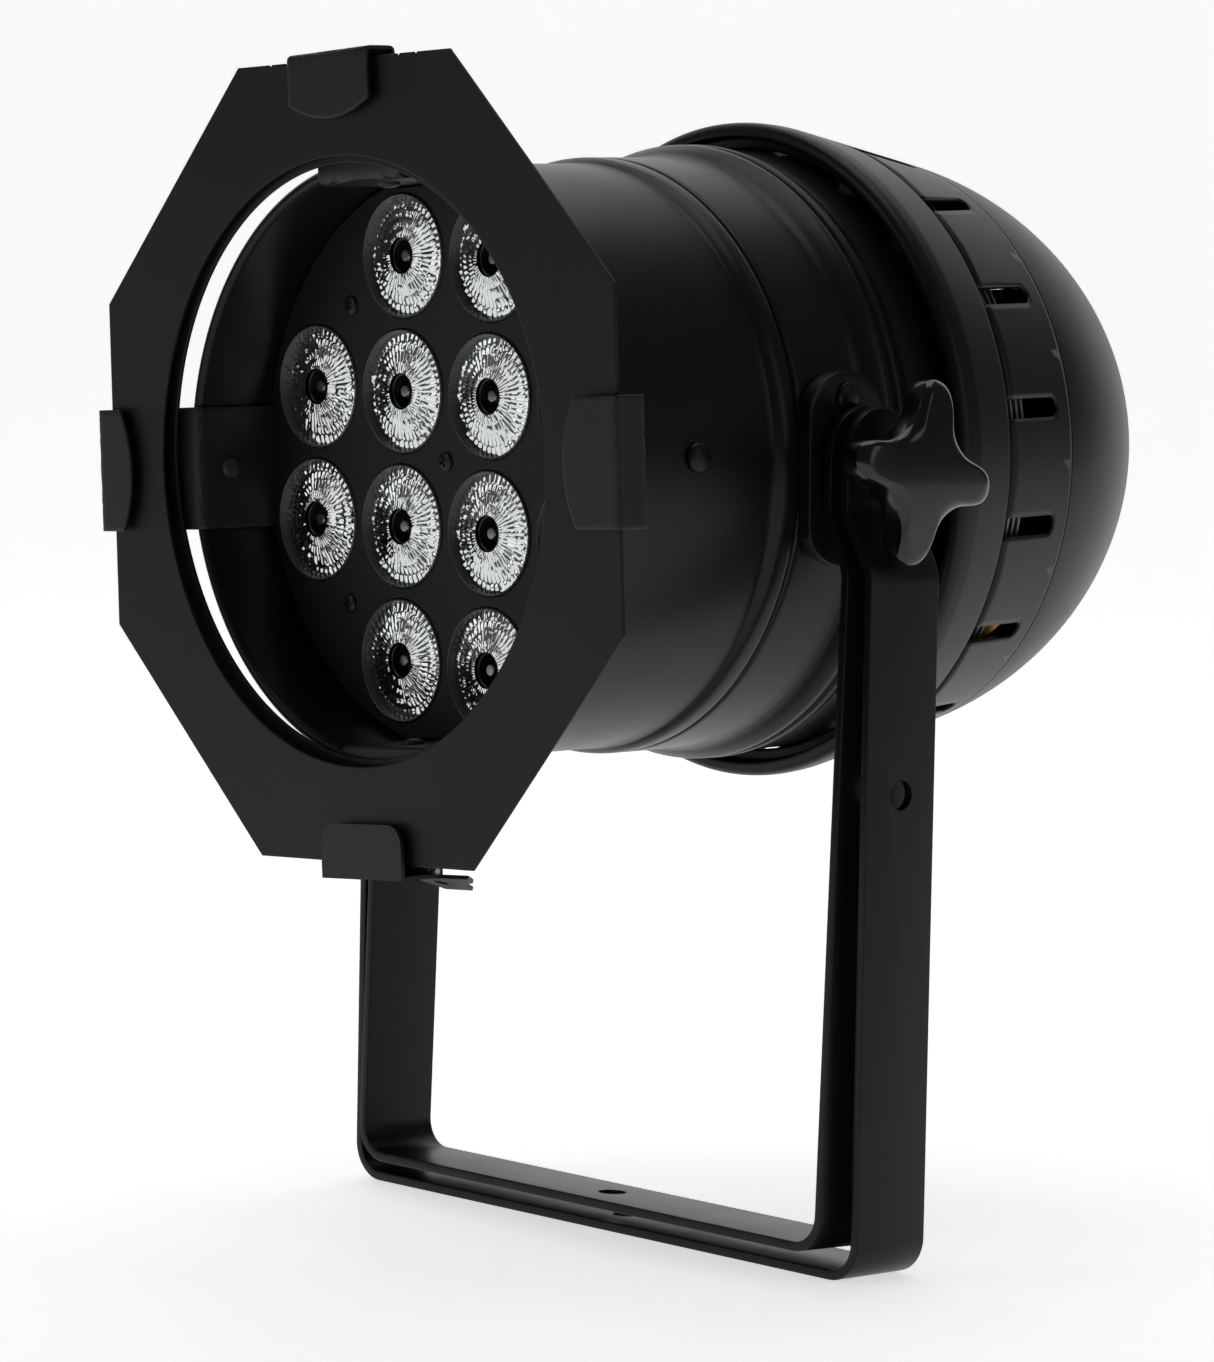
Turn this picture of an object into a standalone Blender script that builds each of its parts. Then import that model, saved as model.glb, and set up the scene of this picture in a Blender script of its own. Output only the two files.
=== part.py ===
"""Par can stage light on a double bracket, with a colour frame held in its front clips.

Units are metres, +Z up. The light shines towards -Y. The origin is under the outer
bracket, at the centre of the hole that its stand or hook bolts through.
"""
import math

import bmesh
import bpy
from mathutils import Matrix, Vector
from mathutils.geometry import tessellate_polygon

GAP = 0.0003  # between pieces that rest on each other
RUNNING = 0.00008  # radial clearance round a pin that something turns on

# Bracket
PIVOT_HEIGHT = 0.2423
STRAP_WIDTH = 0.028
STRAP_THICKNESS = 0.003
OUTER_HALF_WIDTH = 0.119
BRACKET_GAP = 0.0062
HEAD_BRACKET_GAP = 0.0043
BAR_GAP = 0.0046
BEND_RADIUS = 0.0105
JOGGLE = 0.0110
JOGGLE_TOP = 0.010
JOGGLE_BOTTOM = 0.033
STRAP_END_RISE = 0.005
BOLT_HOLE_RADIUS = 0.0045
SIDE_HOLE_DROP = 0.0962
INNER_SWING = -1.6
HEAD_TILT = 0.85

# Can, measured back from the colour frame's front face
PIVOT_DEPTH = 0.115
CAN_RADIUS = 0.090
CAN_WALL = 0.002
CAN_FRONT = 0.0083
CAN_JOINT = 0.097
RIM_SWELL = 0.0019
CAN_RIVET_DEPTH = 0.057
MID_RADIUS = 0.092
FLARE_RADIUS = 0.0961
FLARE_DEPTH = 0.1315
NECK_RADIUS = 0.0944
RING_FRONT = 0.1532
VENT_FRONT = 0.178
VENT_REAR = 0.212
VENT_FRONT_RADIUS = 0.0994
VENT_REAR_RADIUS = 0.0906
SLOT_COUNT = 17
SLOT_WIDTH = 0.0062
SLOT_LENGTH = 0.026
SLOT_START = 9.4
DOME_CURVE = 0.113
PANEL_RADIUS = 0.050

# Light source
PLATE_DEPTH = 0.036
PLATE_THICKNESS = 0.002
LENS_PITCH = 0.0412
LENS_RADIUS = 0.0190
LENS_CLEARANCE = 0.0004
LENS_HEIGHT = 0.0145
LENS_ROWS = (2, 4, 4, 2)
FIN_RADIUS = 0.0865

# Colour frame and its clips
FRAME_HALF = 0.120
FRAME_SIDE_HALF = 0.0502
FRAME_SHEET = 0.0012
APERTURE_RADIUS = 0.0912
REAR_LEAF_HALF = 0.107
REAR_LEAF_APERTURE = 0.0892
FRAME_LIFT = 0.001
FRAME_ROLL = -3.0
CLIP_SHEET = 0.0012
CLIP_WIDTH = 0.038
CLIP_FRONT = -0.0032
CLIP_BACK = 0.0080
CLIP_TAIL = 0.064
CLIP_CLEARANCE = 0.0024
CLIP_TAB_ARC = 0.005
CLIPS = (("top", -1.5, 0.0202), ("right", 89.9, 0.0243), ("left", -90.4, 0.0168))
LATCH_ANGLE = 178.9
LATCH_TAB = 0.0166
LATCH_CORNER = 0.006
KNUCKLE_RADIUS = 0.0021
KNUCKLE_HALF_LENGTH = 0.0042
PIN_RADIUS = 0.0010
LATCH_TAIL_SLOPE = 19.8

# Pivot hardware
PAD_HALF_WIDTH = 0.015
PAD_HALF_LENGTH = 0.0292
PAD_SIDE_HALF = 0.020
PAD_FORWARD = 0.0027
PAD_FACE = 0.0955
BOLT_RADIUS = 0.0039
ARM_CLEARANCE = 0.0006
WASHER_RADIUS = 0.0088
WASHER_THICKNESS = 0.0015
KNOB_RADIUS = 0.0266
KNOB_WAIST = 0.0150
KNOB_HEIGHT = 0.0171
KNOB_LOBE_DEPTH = 0.0091
KNOB_TURN = 9.0

# Rear panel
CONNECTOR_RADIUS = 0.011
CONNECTOR_BODY = 0.009
BUTTON_RADIUS = 0.0032
BUTTON_PITCH = 0.012
BUTTON_TRAVEL = 0.001
DISPLAY_SIZE = (0.030, 0.014)

ROUND = 40


def clear_scene():
    for item in list(bpy.data.objects):
        bpy.data.objects.remove(item, do_unlink=True)


def material(name, colour, roughness, metallic=0.0, alpha=1.0):
    made = bpy.data.materials.new(name)
    made.use_nodes = True
    shader = made.node_tree.nodes["Principled BSDF"]
    shader.inputs["Base Color"].default_value = (*colour, 1.0)
    shader.inputs["Roughness"].default_value = roughness
    shader.inputs["Metallic"].default_value = metallic
    shader.inputs["Alpha"].default_value = alpha
    made.diffuse_color = (*colour, alpha)
    return made


def add_empty(name, parent, location=(0, 0, 0), rotation=(0, 0, 0)):
    empty = bpy.data.objects.new(name, None)
    empty.empty_display_size = 0.02
    bpy.context.collection.objects.link(empty)
    empty.parent = parent
    empty.location = location
    empty.rotation_euler = [math.radians(angle) for angle in rotation]
    return empty


def add_object(name, bm, parent, location=(0, 0, 0), rotation=(0, 0, 0), look=None, sharp=30):
    bmesh.ops.recalc_face_normals(bm, faces=bm.faces)
    mesh = bpy.data.meshes.new(name)
    bm.to_mesh(mesh)
    bm.free()
    mesh.shade_smooth()
    mesh.set_sharp_from_angle(angle=math.radians(sharp))
    made = bpy.data.objects.new(name, mesh)
    bpy.context.collection.objects.link(made)
    made.parent = parent
    made.location = location
    made.rotation_euler = [math.radians(angle) for angle in rotation]
    if look is not None:
        mesh.materials.append(look)
    return made


def helper(made):
    made.hide_render = True
    made.display_type = "WIRE"
    return made


def combine(target, other, operation):
    step = target.modifiers.new(operation.lower() + "_" + other.name, "BOOLEAN")
    step.operation = operation
    step.solver = "EXACT"
    step.object = other
    helper(other)


def lathe(profile, segments=ROUND, bm=None, x=0.0, z=0.0):
    """A closed (depth, radius) outline turned about a line along Y through (x, z)."""
    bm = bm or bmesh.new()
    rings = []
    for depth, radius in profile:
        if radius < 1e-7:
            rings.append([bm.verts.new((x, depth, z))] * segments)
            continue
        ring = []
        for step in range(segments):
            angle = 2 * math.pi * step / segments
            ring.append(bm.verts.new((x + radius * math.cos(angle), depth, z + radius * math.sin(angle))))
        rings.append(ring)
    closed = profile[0][1] > 1e-7
    for index in range(len(rings) if closed else len(rings) - 1):
        near = rings[index]
        far = rings[(index + 1) % len(rings)]
        for step in range(segments):
            after = (step + 1) % segments
            corners = [near[step], near[after], far[after], far[step]]
            bm.faces.new(list(dict.fromkeys(corners)))
    return bm


def prism(loops, low, high, lying=False):
    """Flat outlines, the first outside and the rest holes, made solid from low to high.

    They are (x, z) outlines made solid along y or, lying, (x, y) outlines made solid along z.
    """
    bm = bmesh.new()
    flat = [[Vector((x, z, 0)) for x, z in loop] for loop in loops]
    points = [point for loop in flat for point in loop]
    layers = []
    for level in (low, high):
        places = [(point.x, point.y, level) if lying else (point.x, level, point.y) for point in points]
        layers.append([bm.verts.new(place) for place in places])
    bottom, top = layers
    for a, b, c in tessellate_polygon(flat):
        bm.faces.new((bottom[a], bottom[b], bottom[c]))
        bm.faces.new((top[c], top[b], top[a]))
    start = 0
    for loop in flat:
        for index in range(len(loop)):
            here = start + index
            after = start + (index + 1) % len(loop)
            bm.faces.new((bottom[here], bottom[after], top[after], top[here]))
        start += len(loop)
    return bm


def circle(radius, segments, x=0.0, z=0.0):
    turns = [2 * math.pi * step / segments for step in range(segments)]
    return [(x + radius * math.cos(turn), z + radius * math.sin(turn)) for turn in turns]


def rectangle(width, height, x=0.0, z=0.0):
    return [(x - width / 2, z - height / 2), (x + width / 2, z - height / 2),
            (x + width / 2, z + height / 2), (x - width / 2, z + height / 2)]


def tube(inner, outer, low, high):
    return [(low, inner), (low, outer), (high, outer), (high, inner)]


def box(low, high):
    corners = [(low[0], low[2]), (high[0], low[2]), (high[0], high[2]), (low[0], high[2])]
    return prism([corners], low[1], high[1])


# Bracket


def strap_path(half_width, foot, head_offset):
    """Centre line of one U-shaped strap in (x, z), from the left arm's end round to the right one's."""
    right = []
    for step in range(6):
        angle = math.radians(18 * step)
        right.append((half_width - head_offset, STRAP_END_RISE + STRAP_WIDTH / 2 * math.cos(angle)))
    for step in range(7):
        share = step / 6
        ease = share * share * (3 - 2 * share)
        right.append((half_width - head_offset * (1 - ease),
                      -JOGGLE_TOP - (JOGGLE_BOTTOM - JOGGLE_TOP) * share))
    for step in range(7):
        angle = math.radians(15 * step)
        right.append((half_width - BEND_RADIUS + BEND_RADIUS * math.cos(angle),
                      -foot + BEND_RADIUS - BEND_RADIUS * math.sin(angle)))
    return right


def strap(half_width, foot, head_offset):
    """A flat strap bent into a U with half-round ends, its middle surface half_width from the centre."""
    right = strap_path(half_width, foot, head_offset)
    widths = []
    for step in range(6):
        angle = math.radians(18 * step)
        widths.append(max(STRAP_WIDTH / 2 * math.sin(angle), 0.0012))
    widths += [STRAP_WIDTH / 2] * (len(right) - 6)
    path = right + [(-x, z) for x, z in reversed(right)]
    widths = widths + list(reversed(widths))
    bm = bmesh.new()
    rings = []
    for index, (x, z) in enumerate(path):
        before = path[max(index - 1, 0)]
        after = path[min(index + 1, len(path) - 1)]
        along = Vector((after[0] - before[0], 0, after[1] - before[1])).normalized()
        side = Vector((along.z, 0, -along.x)) * STRAP_THICKNESS / 2
        half = Vector((0, widths[index], 0))
        centre = Vector((x, 0, z))
        rings.append([bm.verts.new(centre + side - half), bm.verts.new(centre + side + half),
                      bm.verts.new(centre - side + half), bm.verts.new(centre - side - half)])
    for near, far in zip(rings, rings[1:]):
        for corner in range(4):
            after = (corner + 1) % 4
            bm.faces.new((near[corner], near[after], far[after], far[corner]))
    bm.faces.new(rings[0])
    bm.faces.new(rings[-1])
    return bm


def drill(name, target, parent, radius, start, end, location=(0, 0, 0), rotation=(0, 0, 0)):
    bm = lathe([(start, 0), (start, radius), (end, radius), (end, 0)], 24)
    combine(target, add_object(name, bm, parent, location, rotation), "DIFFERENCE")


def build_brackets(pivot, looks):
    outer_centre = OUTER_HALF_WIDTH - STRAP_THICKNESS / 2
    inner_centre = outer_centre - STRAP_THICKNESS - BRACKET_GAP
    outer_foot = PIVOT_HEIGHT - STRAP_THICKNESS / 2
    inner_foot = outer_foot - STRAP_THICKNESS - BAR_GAP
    inner_offset = JOGGLE + HEAD_BRACKET_GAP - BRACKET_GAP
    outer = add_object("outer_bracket", strap(outer_centre, outer_foot, JOGGLE), pivot, look=looks["paint"])
    swing = add_empty("inner_bracket_axis", pivot, rotation=(INNER_SWING, 0, 0))
    inner = add_object("inner_bracket", strap(inner_centre, inner_foot, inner_offset), swing, look=looks["paint"])
    reach = OUTER_HALF_WIDTH + 0.01
    for target, parent, tag in ((outer, pivot, "outer"), (inner, swing, "inner")):
        drill(tag + "_pivot_drill", target, parent, BOLT_RADIUS + ARM_CLEARANCE, -reach, reach, rotation=(0, 0, 90))
        drill(tag + "_stand_drill", target, parent, BOLT_HOLE_RADIUS, -0.02, 0.02,
              (0, 0, -PIVOT_HEIGHT), (90, 0, 0))
    drill("outer_side_drill", outer, pivot, BOLT_HOLE_RADIUS, -reach, reach, (0, 0, -SIDE_HOLE_DROP), (0, 0, 90))
    inner_face = inner_centre - inner_offset - STRAP_THICKNESS / 2
    outer_face = outer_centre - JOGGLE + STRAP_THICKNESS / 2
    return inner_face, inner_face + STRAP_THICKNESS, outer_face - STRAP_THICKNESS, outer_face


def knob_outline(radius, waist, turn, points):
    outline = []
    for step in range(points):
        angle = 2 * math.pi * step / points
        wave = 0.5 + 0.5 * math.cos(4 * angle)
        reach = waist + (radius - waist) * wave ** 1.15
        outline.append((reach * math.cos(angle + turn), reach * math.sin(angle + turn)))
    return outline


def knob_mesh(points=32):
    """A four-lobed star knob on a round hub, standing along +Y from its seat at y = 0."""
    hub = KNOB_HEIGHT - KNOB_LOBE_DEPTH
    bm = bmesh.new()
    turn = math.radians(KNOB_TURN)
    layers = [(hub, 0.93), (hub + 0.0010, 0.985), (hub + 0.0022, 1.0), (KNOB_HEIGHT - 0.0020, 1.0),
              (KNOB_HEIGHT - 0.0006, 0.975), (KNOB_HEIGHT, 0.93), (KNOB_HEIGHT + 0.0011, 0.55)]
    bore = BOLT_RADIUS + GAP
    bore_end = KNOB_HEIGHT - 0.003
    rings = []
    for depth, radius in ((bore_end, 0.0), (bore_end, bore), (0.0, bore), (0.0, 0.0100), (hub, 0.0105)):
        if radius == 0.0:
            rings.append([bm.verts.new((0, depth, 0))] * points)
        else:
            rings.append([bm.verts.new((x, depth, z)) for x, z in knob_outline(radius, radius, turn, points)])
    for depth, scale in layers:
        outline = knob_outline(KNOB_RADIUS * scale, KNOB_WAIST * scale, turn, points)
        rings.append([bm.verts.new((x, depth, z)) for x, z in outline])
    rings.append([bm.verts.new((0, KNOB_HEIGHT + 0.0016, 0))] * points)
    for near, far in zip(rings, rings[1:]):
        for step in range(points):
            after = (step + 1) % points
            bm.faces.new(list(dict.fromkeys((near[step], near[after], far[after], far[step]))))
    return bm


def pad_outline():
    """An oblong with shallow round ends, for the plate the bracket pivots on."""
    rise = PAD_HALF_LENGTH - PAD_SIDE_HALF
    radius = (PAD_HALF_WIDTH ** 2 + rise ** 2) / (2 * rise)
    spread = math.asin(PAD_HALF_WIDTH / radius)
    outline = []
    for end in (1, -1):
        for step in range(9):
            angle = spread * (1 - step / 4)
            outline.append((end * radius * math.sin(angle),
                            end * (PAD_HALF_LENGTH - radius + radius * math.cos(angle))))
    return outline


def dome_profile(seat, radius, height):
    """A rivet head standing on a seat: a low dome with a nearly upright edge."""
    return [(seat + GAP, 0), (seat + GAP, radius), (seat + height * 0.45, radius * 0.93),
            (seat + height * 0.80, radius * 0.68), (seat + height * 0.97, radius * 0.32), (seat + height, 0)]


def build_pivots(pivot, head, faces, looks):
    inner_low, inner_high, outer_low, outer_high = faces
    washer_top = outer_high + GAP + WASHER_THICKNESS
    knob_seat = washer_top + GAP
    rings = (("pivot_washer_", head, PAD_FACE + GAP, inner_low - GAP, 0.0100, "rubber"),
             ("arm_spacer_", pivot, inner_high + GAP, outer_low - GAP, 0.0090, "zinc"),
             ("knob_washer_", pivot, outer_high + GAP, washer_top, WASHER_RADIUS, "zinc"))
    for side, sign in (("right", 1), ("left", -1)):
        outward = (0, 0, -90 * sign)
        bolt_hole = circle(BOLT_RADIUS + GAP, 16, -PAD_FORWARD * sign)
        pad = add_object("pivot_plate_" + side, prism([pad_outline(), bolt_hole], CAN_RADIUS - 0.01, PAD_FACE),
                         head, (0, -PAD_FORWARD, 0), outward, looks["paint"])
        combine(pad, add_object("pivot_plate_seat_" + side, middle_can_solid(GAP), head), "DIFFERENCE")
        for end, place in (("top", 1), ("bottom", -1)):
            dome = dome_profile(PAD_FACE, 0.0043, inner_low - PAD_FACE - GAP)
            add_object("plate_rivet_%s_%s" % (end, side), lathe(dome, 16), head,
                       (0, -PAD_FORWARD, place * (PAD_HALF_LENGTH - 0.0075)), outward, looks["paint"])
        for name, body, low, high, radius, look in rings:
            add_object(name + side, lathe(tube(BOLT_RADIUS + 0.0005, radius, low, high), 28), body,
                       rotation=outward, look=looks[look])
        bolt_end = knob_seat + KNOB_HEIGHT - 0.0036
        bolt = [(MID_RADIUS + GAP, 0), (MID_RADIUS + GAP, BOLT_RADIUS), (bolt_end, BOLT_RADIUS), (bolt_end, 0)]
        add_object("pivot_bolt_" + side, lathe(bolt, 20), head, rotation=outward, look=looks["zinc"])
        add_object("knob_" + side, knob_mesh(), pivot, (sign * knob_seat, 0, 0), outward, looks["knob"], sharp=50)


# Can


def back(depth):
    """Distance behind the pivot axis of a place this far behind the colour frame's front."""
    return depth - PIVOT_DEPTH


def middle_can_outside(grow=0.0):
    crest = FLARE_RADIUS + grow
    start = CAN_JOINT
    return [(start, MID_RADIUS - 0.001 + grow), (start + 0.001, MID_RADIUS + grow),
            (FLARE_DEPTH - 0.0110, MID_RADIUS + grow), (FLARE_DEPTH - 0.0070, MID_RADIUS + 0.0007 + grow),
            (FLARE_DEPTH - 0.0040, crest - 0.0018), (FLARE_DEPTH - 0.0018, crest - 0.0004),
            (FLARE_DEPTH, crest), (FLARE_DEPTH + 0.0012, crest - 0.0004), (FLARE_DEPTH + 0.0017, crest - 0.0012),
            (FLARE_DEPTH + 0.0026, crest - 0.0012), (FLARE_DEPTH + 0.0031, crest - 0.0004),
            (FLARE_DEPTH + 0.0045, crest), (FLARE_DEPTH + 0.0062, crest - 0.0005),
            (FLARE_DEPTH + 0.0074, NECK_RADIUS + 0.0003 + grow), (FLARE_DEPTH + 0.0088, NECK_RADIUS + grow)]


def middle_can_solid(grow):
    outside = [(back(depth), radius) for depth, radius in middle_can_outside(grow)]
    return lathe([(back(CAN_JOINT) - 0.004, 0), (back(CAN_JOINT) - 0.004, outside[0][1])] + outside
                 + [(back(FLARE_DEPTH) + 0.02, outside[-1][1]), (back(FLARE_DEPTH) + 0.02, 0)])


def cone_radius(depth):
    slope = (VENT_REAR_RADIUS - VENT_FRONT_RADIUS) / (VENT_REAR - VENT_FRONT)
    return VENT_FRONT_RADIUS + slope * (depth - VENT_FRONT)


def dome_radius(depth, curve=DOME_CURVE):
    return math.sqrt(curve ** 2 - (depth - dome_centre()[0]) ** 2) + dome_centre()[1]


def dome_centre():
    """Centre of the rear dome's arc: it meets the vent ring and turns in towards the panel."""
    depth = VENT_REAR - 0.022
    return depth, VENT_REAR_RADIUS - math.sqrt(DOME_CURVE ** 2 - (VENT_REAR - depth) ** 2)


def panel_depth(curve=DOME_CURVE):
    depth, radius = dome_centre()
    return depth + math.sqrt(curve ** 2 - (PANEL_RADIUS - radius) ** 2)


def build_can(head, looks):
    inside = CAN_RADIUS - CAN_WALL
    rim = CAN_FRONT + RIM_SWELL
    front = [(rim + 0.0023, CAN_RADIUS), (rim + 0.0015, CAN_RADIUS + 0.0014), (rim, CAN_RADIUS + RIM_SWELL),
             (rim - 0.0014, CAN_RADIUS + 0.0013), (CAN_FRONT, CAN_RADIUS), (CAN_FRONT + 0.0004, CAN_RADIUS - 0.0014),
             (CAN_FRONT + 0.0016, inside), (CAN_JOINT - GAP, inside), (CAN_JOINT - GAP, MID_RADIUS - 0.0006),
             (CAN_JOINT - 0.0014, MID_RADIUS), (CAN_JOINT - 0.0046, MID_RADIUS), (CAN_JOINT - 0.0070, MID_RADIUS - 0.0005),
             (CAN_JOINT - 0.0092, CAN_RADIUS)]
    add_object("front_can", lathe([(back(d), r) for d, r in front]), head, look=looks["paint"])

    middle = middle_can_outside() + [(RING_FRONT + 0.009, NECK_RADIUS), (RING_FRONT + 0.009, NECK_RADIUS - CAN_WALL),
                                  (FLARE_DEPTH + 0.006, NECK_RADIUS - CAN_WALL),
                                  (FLARE_DEPTH - 0.010, MID_RADIUS - 0.0025), (CAN_JOINT, MID_RADIUS - 0.0025)]
    add_object("middle_can", lathe([(back(d), r) for d, r in middle]), head, look=looks["paint"])

    lip = RING_FRONT
    flange = lip + 0.0050
    edge = cone_radius(lip)
    ring = [(lip, edge - 0.0052), (lip + 0.0006, edge - 0.0031), (lip + 0.0022, edge - 0.0015),
            (lip + 0.0048, edge - 0.0016), (lip + 0.0085, cone_radius(lip + 0.0085)),
            (VENT_FRONT - GAP, cone_radius(VENT_FRONT)), (VENT_FRONT - GAP, cone_radius(VENT_FRONT) - CAN_WALL),
            (flange + CAN_WALL, cone_radius(flange + CAN_WALL) - CAN_WALL), (flange + CAN_WALL, NECK_RADIUS + GAP),
            (flange, NECK_RADIUS + GAP), (flange, edge - 0.0060), (lip + 0.0004, edge - 0.0060)]
    add_object("rear_ring", lathe([(back(d), r) for d, r in ring]), head, look=looks["shell"])

    vent = [(VENT_FRONT, VENT_FRONT_RADIUS), (VENT_REAR - GAP, cone_radius(VENT_REAR - GAP)),
            (VENT_REAR - GAP, cone_radius(VENT_REAR - GAP) - CAN_WALL), (VENT_FRONT, VENT_FRONT_RADIUS - CAN_WALL)]
    shell = add_object("vent_ring", lathe([(back(d), r) for d, r in vent], 68), head, look=looks["shell"])
    combine(shell, add_object("vent_slots", slot_cutters(), head), "DIFFERENCE")

    depths = [VENT_REAR + share * (panel_depth() - VENT_REAR) for share in (0, 0.16, 0.32, 0.48, 0.62, 0.74, 0.84, 0.92)]
    dome = [(d, dome_radius(d)) for d in depths] + [(panel_depth(), PANEL_RADIUS)]
    inner_curve = DOME_CURVE - CAN_WALL
    dome.append((panel_depth(inner_curve), PANEL_RADIUS))
    for share in (0.82, 0.66, 0.46, 0.24):
        d = VENT_REAR + share * (panel_depth(inner_curve) - VENT_REAR)
        dome.append((d, dome_radius(d, inner_curve)))
    dome.append((VENT_REAR, dome_radius(VENT_REAR, inner_curve)))
    add_object("rear_dome", lathe([(back(d), r) for d, r in dome]), head, look=looks["shell"])


def slot_cutters():
    """Notches cut back from the vent ring's front edge, each with a half-round end."""
    bm = bmesh.new()
    half = SLOT_WIDTH / 2
    straight = VENT_FRONT + SLOT_LENGTH - half
    outline = [(-half, VENT_FRONT - 0.003), (half, VENT_FRONT - 0.003)]
    for step in range(7):
        angle = math.radians(30 * step)
        outline.append((half * math.cos(angle), straight + half * math.sin(angle)))
    for index in range(SLOT_COUNT):
        turn = Matrix.Rotation(-math.radians(SLOT_START + index * 360 / SLOT_COUNT), 4, "Y")
        inner = [bm.verts.new(turn @ Vector((0.080, back(d), x))) for x, d in outline]
        outer = [bm.verts.new(turn @ Vector((0.110, back(d), x))) for x, d in outline]
        bm.faces.new(inner)
        bm.faces.new(outer)
        for step in range(len(outline)):
            after = (step + 1) % len(outline)
            bm.faces.new((inner[step], inner[after], outer[after], outer[step]))
    return bm


# Light source and what is inside


def lens_places():
    places = []
    for row, count in enumerate(LENS_ROWS):
        z = (1.5 - row) * LENS_PITCH
        for column in range(count):
            places.append(((column - (count - 1) / 2) * LENS_PITCH, z))
    return places


def build_light(head, seat, looks):
    plate_radius = CAN_RADIUS - CAN_WALL - 0.0004
    near = back(PLATE_DEPTH)
    far = near + PLATE_THICKNESS
    disc = lathe([(near, 0), (near, plate_radius), (far, plate_radius), (far, 0)])
    plate = add_object("front_plate", disc, head, look=looks["plate"])
    hole = [(near - 0.001, 0), (near - 0.001, LENS_RADIUS + LENS_CLEARANCE),
            (far + 0.001, LENS_RADIUS + LENS_CLEARANCE), (far + 0.001, 0)]
    holes = bmesh.new()
    for x, z in lens_places():
        lathe(hole, 24, holes, x, z)
    combine(plate, add_object("lens_holes", holes, head), "DIFFERENCE")
    inside_clips = clip_base_radius() - CLIP_SHEET - GAP
    relief = CLIP_WIDTH / 2 + GAP
    for number, angle in enumerate([clip[1] for clip in CLIPS] + [LATCH_ANGLE], 1):
        notch = box((-relief, PLATE_DEPTH - 0.002, inside_clips), (relief, PLATE_DEPTH + 0.004, CAN_RADIUS))
        combine(plate, add_object("plate_notch_%d" % number, notch, seat, rotation=(0, angle, 0)), "DIFFERENCE")
    top = PLATE_DEPTH - 0.0008
    profile = [(top - 0.0003, 0), (top - 0.0001, LENS_RADIUS * 0.6), (top + 0.0004, LENS_RADIUS - 0.0008),
               (top + 0.0012, LENS_RADIUS), (top + LENS_HEIGHT * 0.4, LENS_RADIUS * 0.97),
               (top + LENS_HEIGHT, LENS_RADIUS * 0.42), (top + LENS_HEIGHT, 0)]
    for number, (x, z) in enumerate(lens_places(), 1):
        add_object("lens_%02d" % number, lathe([(back(d), r) for d, r in profile], 24), head, (x, 0, z),
                   look=looks["lens"], sharp=40)
    board = top + LENS_HEIGHT + GAP
    board_radius = inside_clips - 0.0005
    add_object("led_board", lathe([(back(board), 0), (back(board), board_radius),
                                   (back(board + 0.0016), board_radius), (back(board + 0.0016), 0)], 36),
               head, look=looks["board"])
    sink = board + 0.0016 + GAP
    supply = VENT_FRONT + 0.019
    fins = [0.078, 0.108, 0.138, VENT_FRONT + 0.003, VENT_FRONT + 0.007, VENT_FRONT + 0.011]
    core = 0.020
    comb = [(sink, 0), (sink, board_radius), (sink + 0.005, board_radius), (sink + 0.005, core)]
    for fin in fins:
        comb += [(fin, core), (fin, FIN_RADIUS), (fin + 0.0012, FIN_RADIUS), (fin + 0.0012, core)]
    comb += [(supply - GAP, core), (supply - GAP, 0)]
    add_object("heat_sink", lathe([(back(d), r) for d, r in comb], 24), head, look=looks["fins"])
    add_object("power_supply", box((-0.035, back(supply), -0.024), (0.035, back(supply + 0.052), 0.024)), head,
               look=looks["fins"])


def build_panel(head, looks):
    face = panel_depth() - GAP
    body = 0.002
    display_z = 0.030
    button_z = 0.0135
    button_x = [(index - 1.5) * BUTTON_PITCH for index in range(4)]
    sockets = (("data_input", -0.029, -0.006), ("data_output", 0.029, -0.006),
               ("power_input", -0.0135, -0.030), ("power_output", 0.0135, -0.030))
    holes = [rectangle(DISPLAY_SIZE[0] + 2 * GAP, DISPLAY_SIZE[1] + 2 * GAP, 0, display_z)]
    holes += [circle(BUTTON_RADIUS + GAP, 16, x, button_z) for x in button_x]
    holes += [circle(CONNECTOR_BODY + GAP, 24, x, z) for _, x, z in sockets]
    add_object("control_panel", prism([circle(PANEL_RADIUS - GAP, 36)] + holes, back(face - body), back(face)),
               head, look=looks["plate"])
    board = face - 0.0086
    width, height = DISPLAY_SIZE
    display = add_object("display_board", box((-0.031, back(board - 0.0016), 0.0045), (0.031, back(board), 0.038)),
                         head, look=looks["display"])
    screen = box((-width / 2, back(board - 0.001), display_z - height / 2),
                 (width / 2, back(face + 0.0002), display_z + height / 2))
    combine(display, add_object("screen", screen, head), "UNION")
    for number, x in enumerate(button_x, 1):
        low = board + BUTTON_TRAVEL + 0.0006
        cap = [(low, 0), (low, BUTTON_RADIUS), (face + 0.0014, BUTTON_RADIUS), (face + 0.0018, BUTTON_RADIUS - 0.0006),
               (face + 0.0018, 0)]
        add_object("button_%d" % number, lathe([(back(d), r) for d, r in cap], 16), head, (x, 0, button_z),
                   look=looks["knob"])
    for name, x, z in sockets:
        seat = face + GAP
        shell = [(face - 0.014, 0), (face - 0.014, CONNECTOR_BODY), (seat, CONNECTOR_BODY), (seat, CONNECTOR_RADIUS),
                 (seat + 0.0015, CONNECTOR_RADIUS), (seat + 0.0015, CONNECTOR_BODY - 0.0015),
                 (face - 0.010, CONNECTOR_BODY - 0.0015), (face - 0.010, 0)]
        add_object(name, lathe([(back(d), r) for d, r in shell], 24), head, (x, 0, z), look=looks["knob"])


# Colour frame and clips


def octagon(half, side_half):
    return [(side_half, half), (half, side_half), (half, -side_half), (side_half, -half),
            (-side_half, -half), (-half, -side_half), (-half, side_half), (-side_half, half)]


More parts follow.
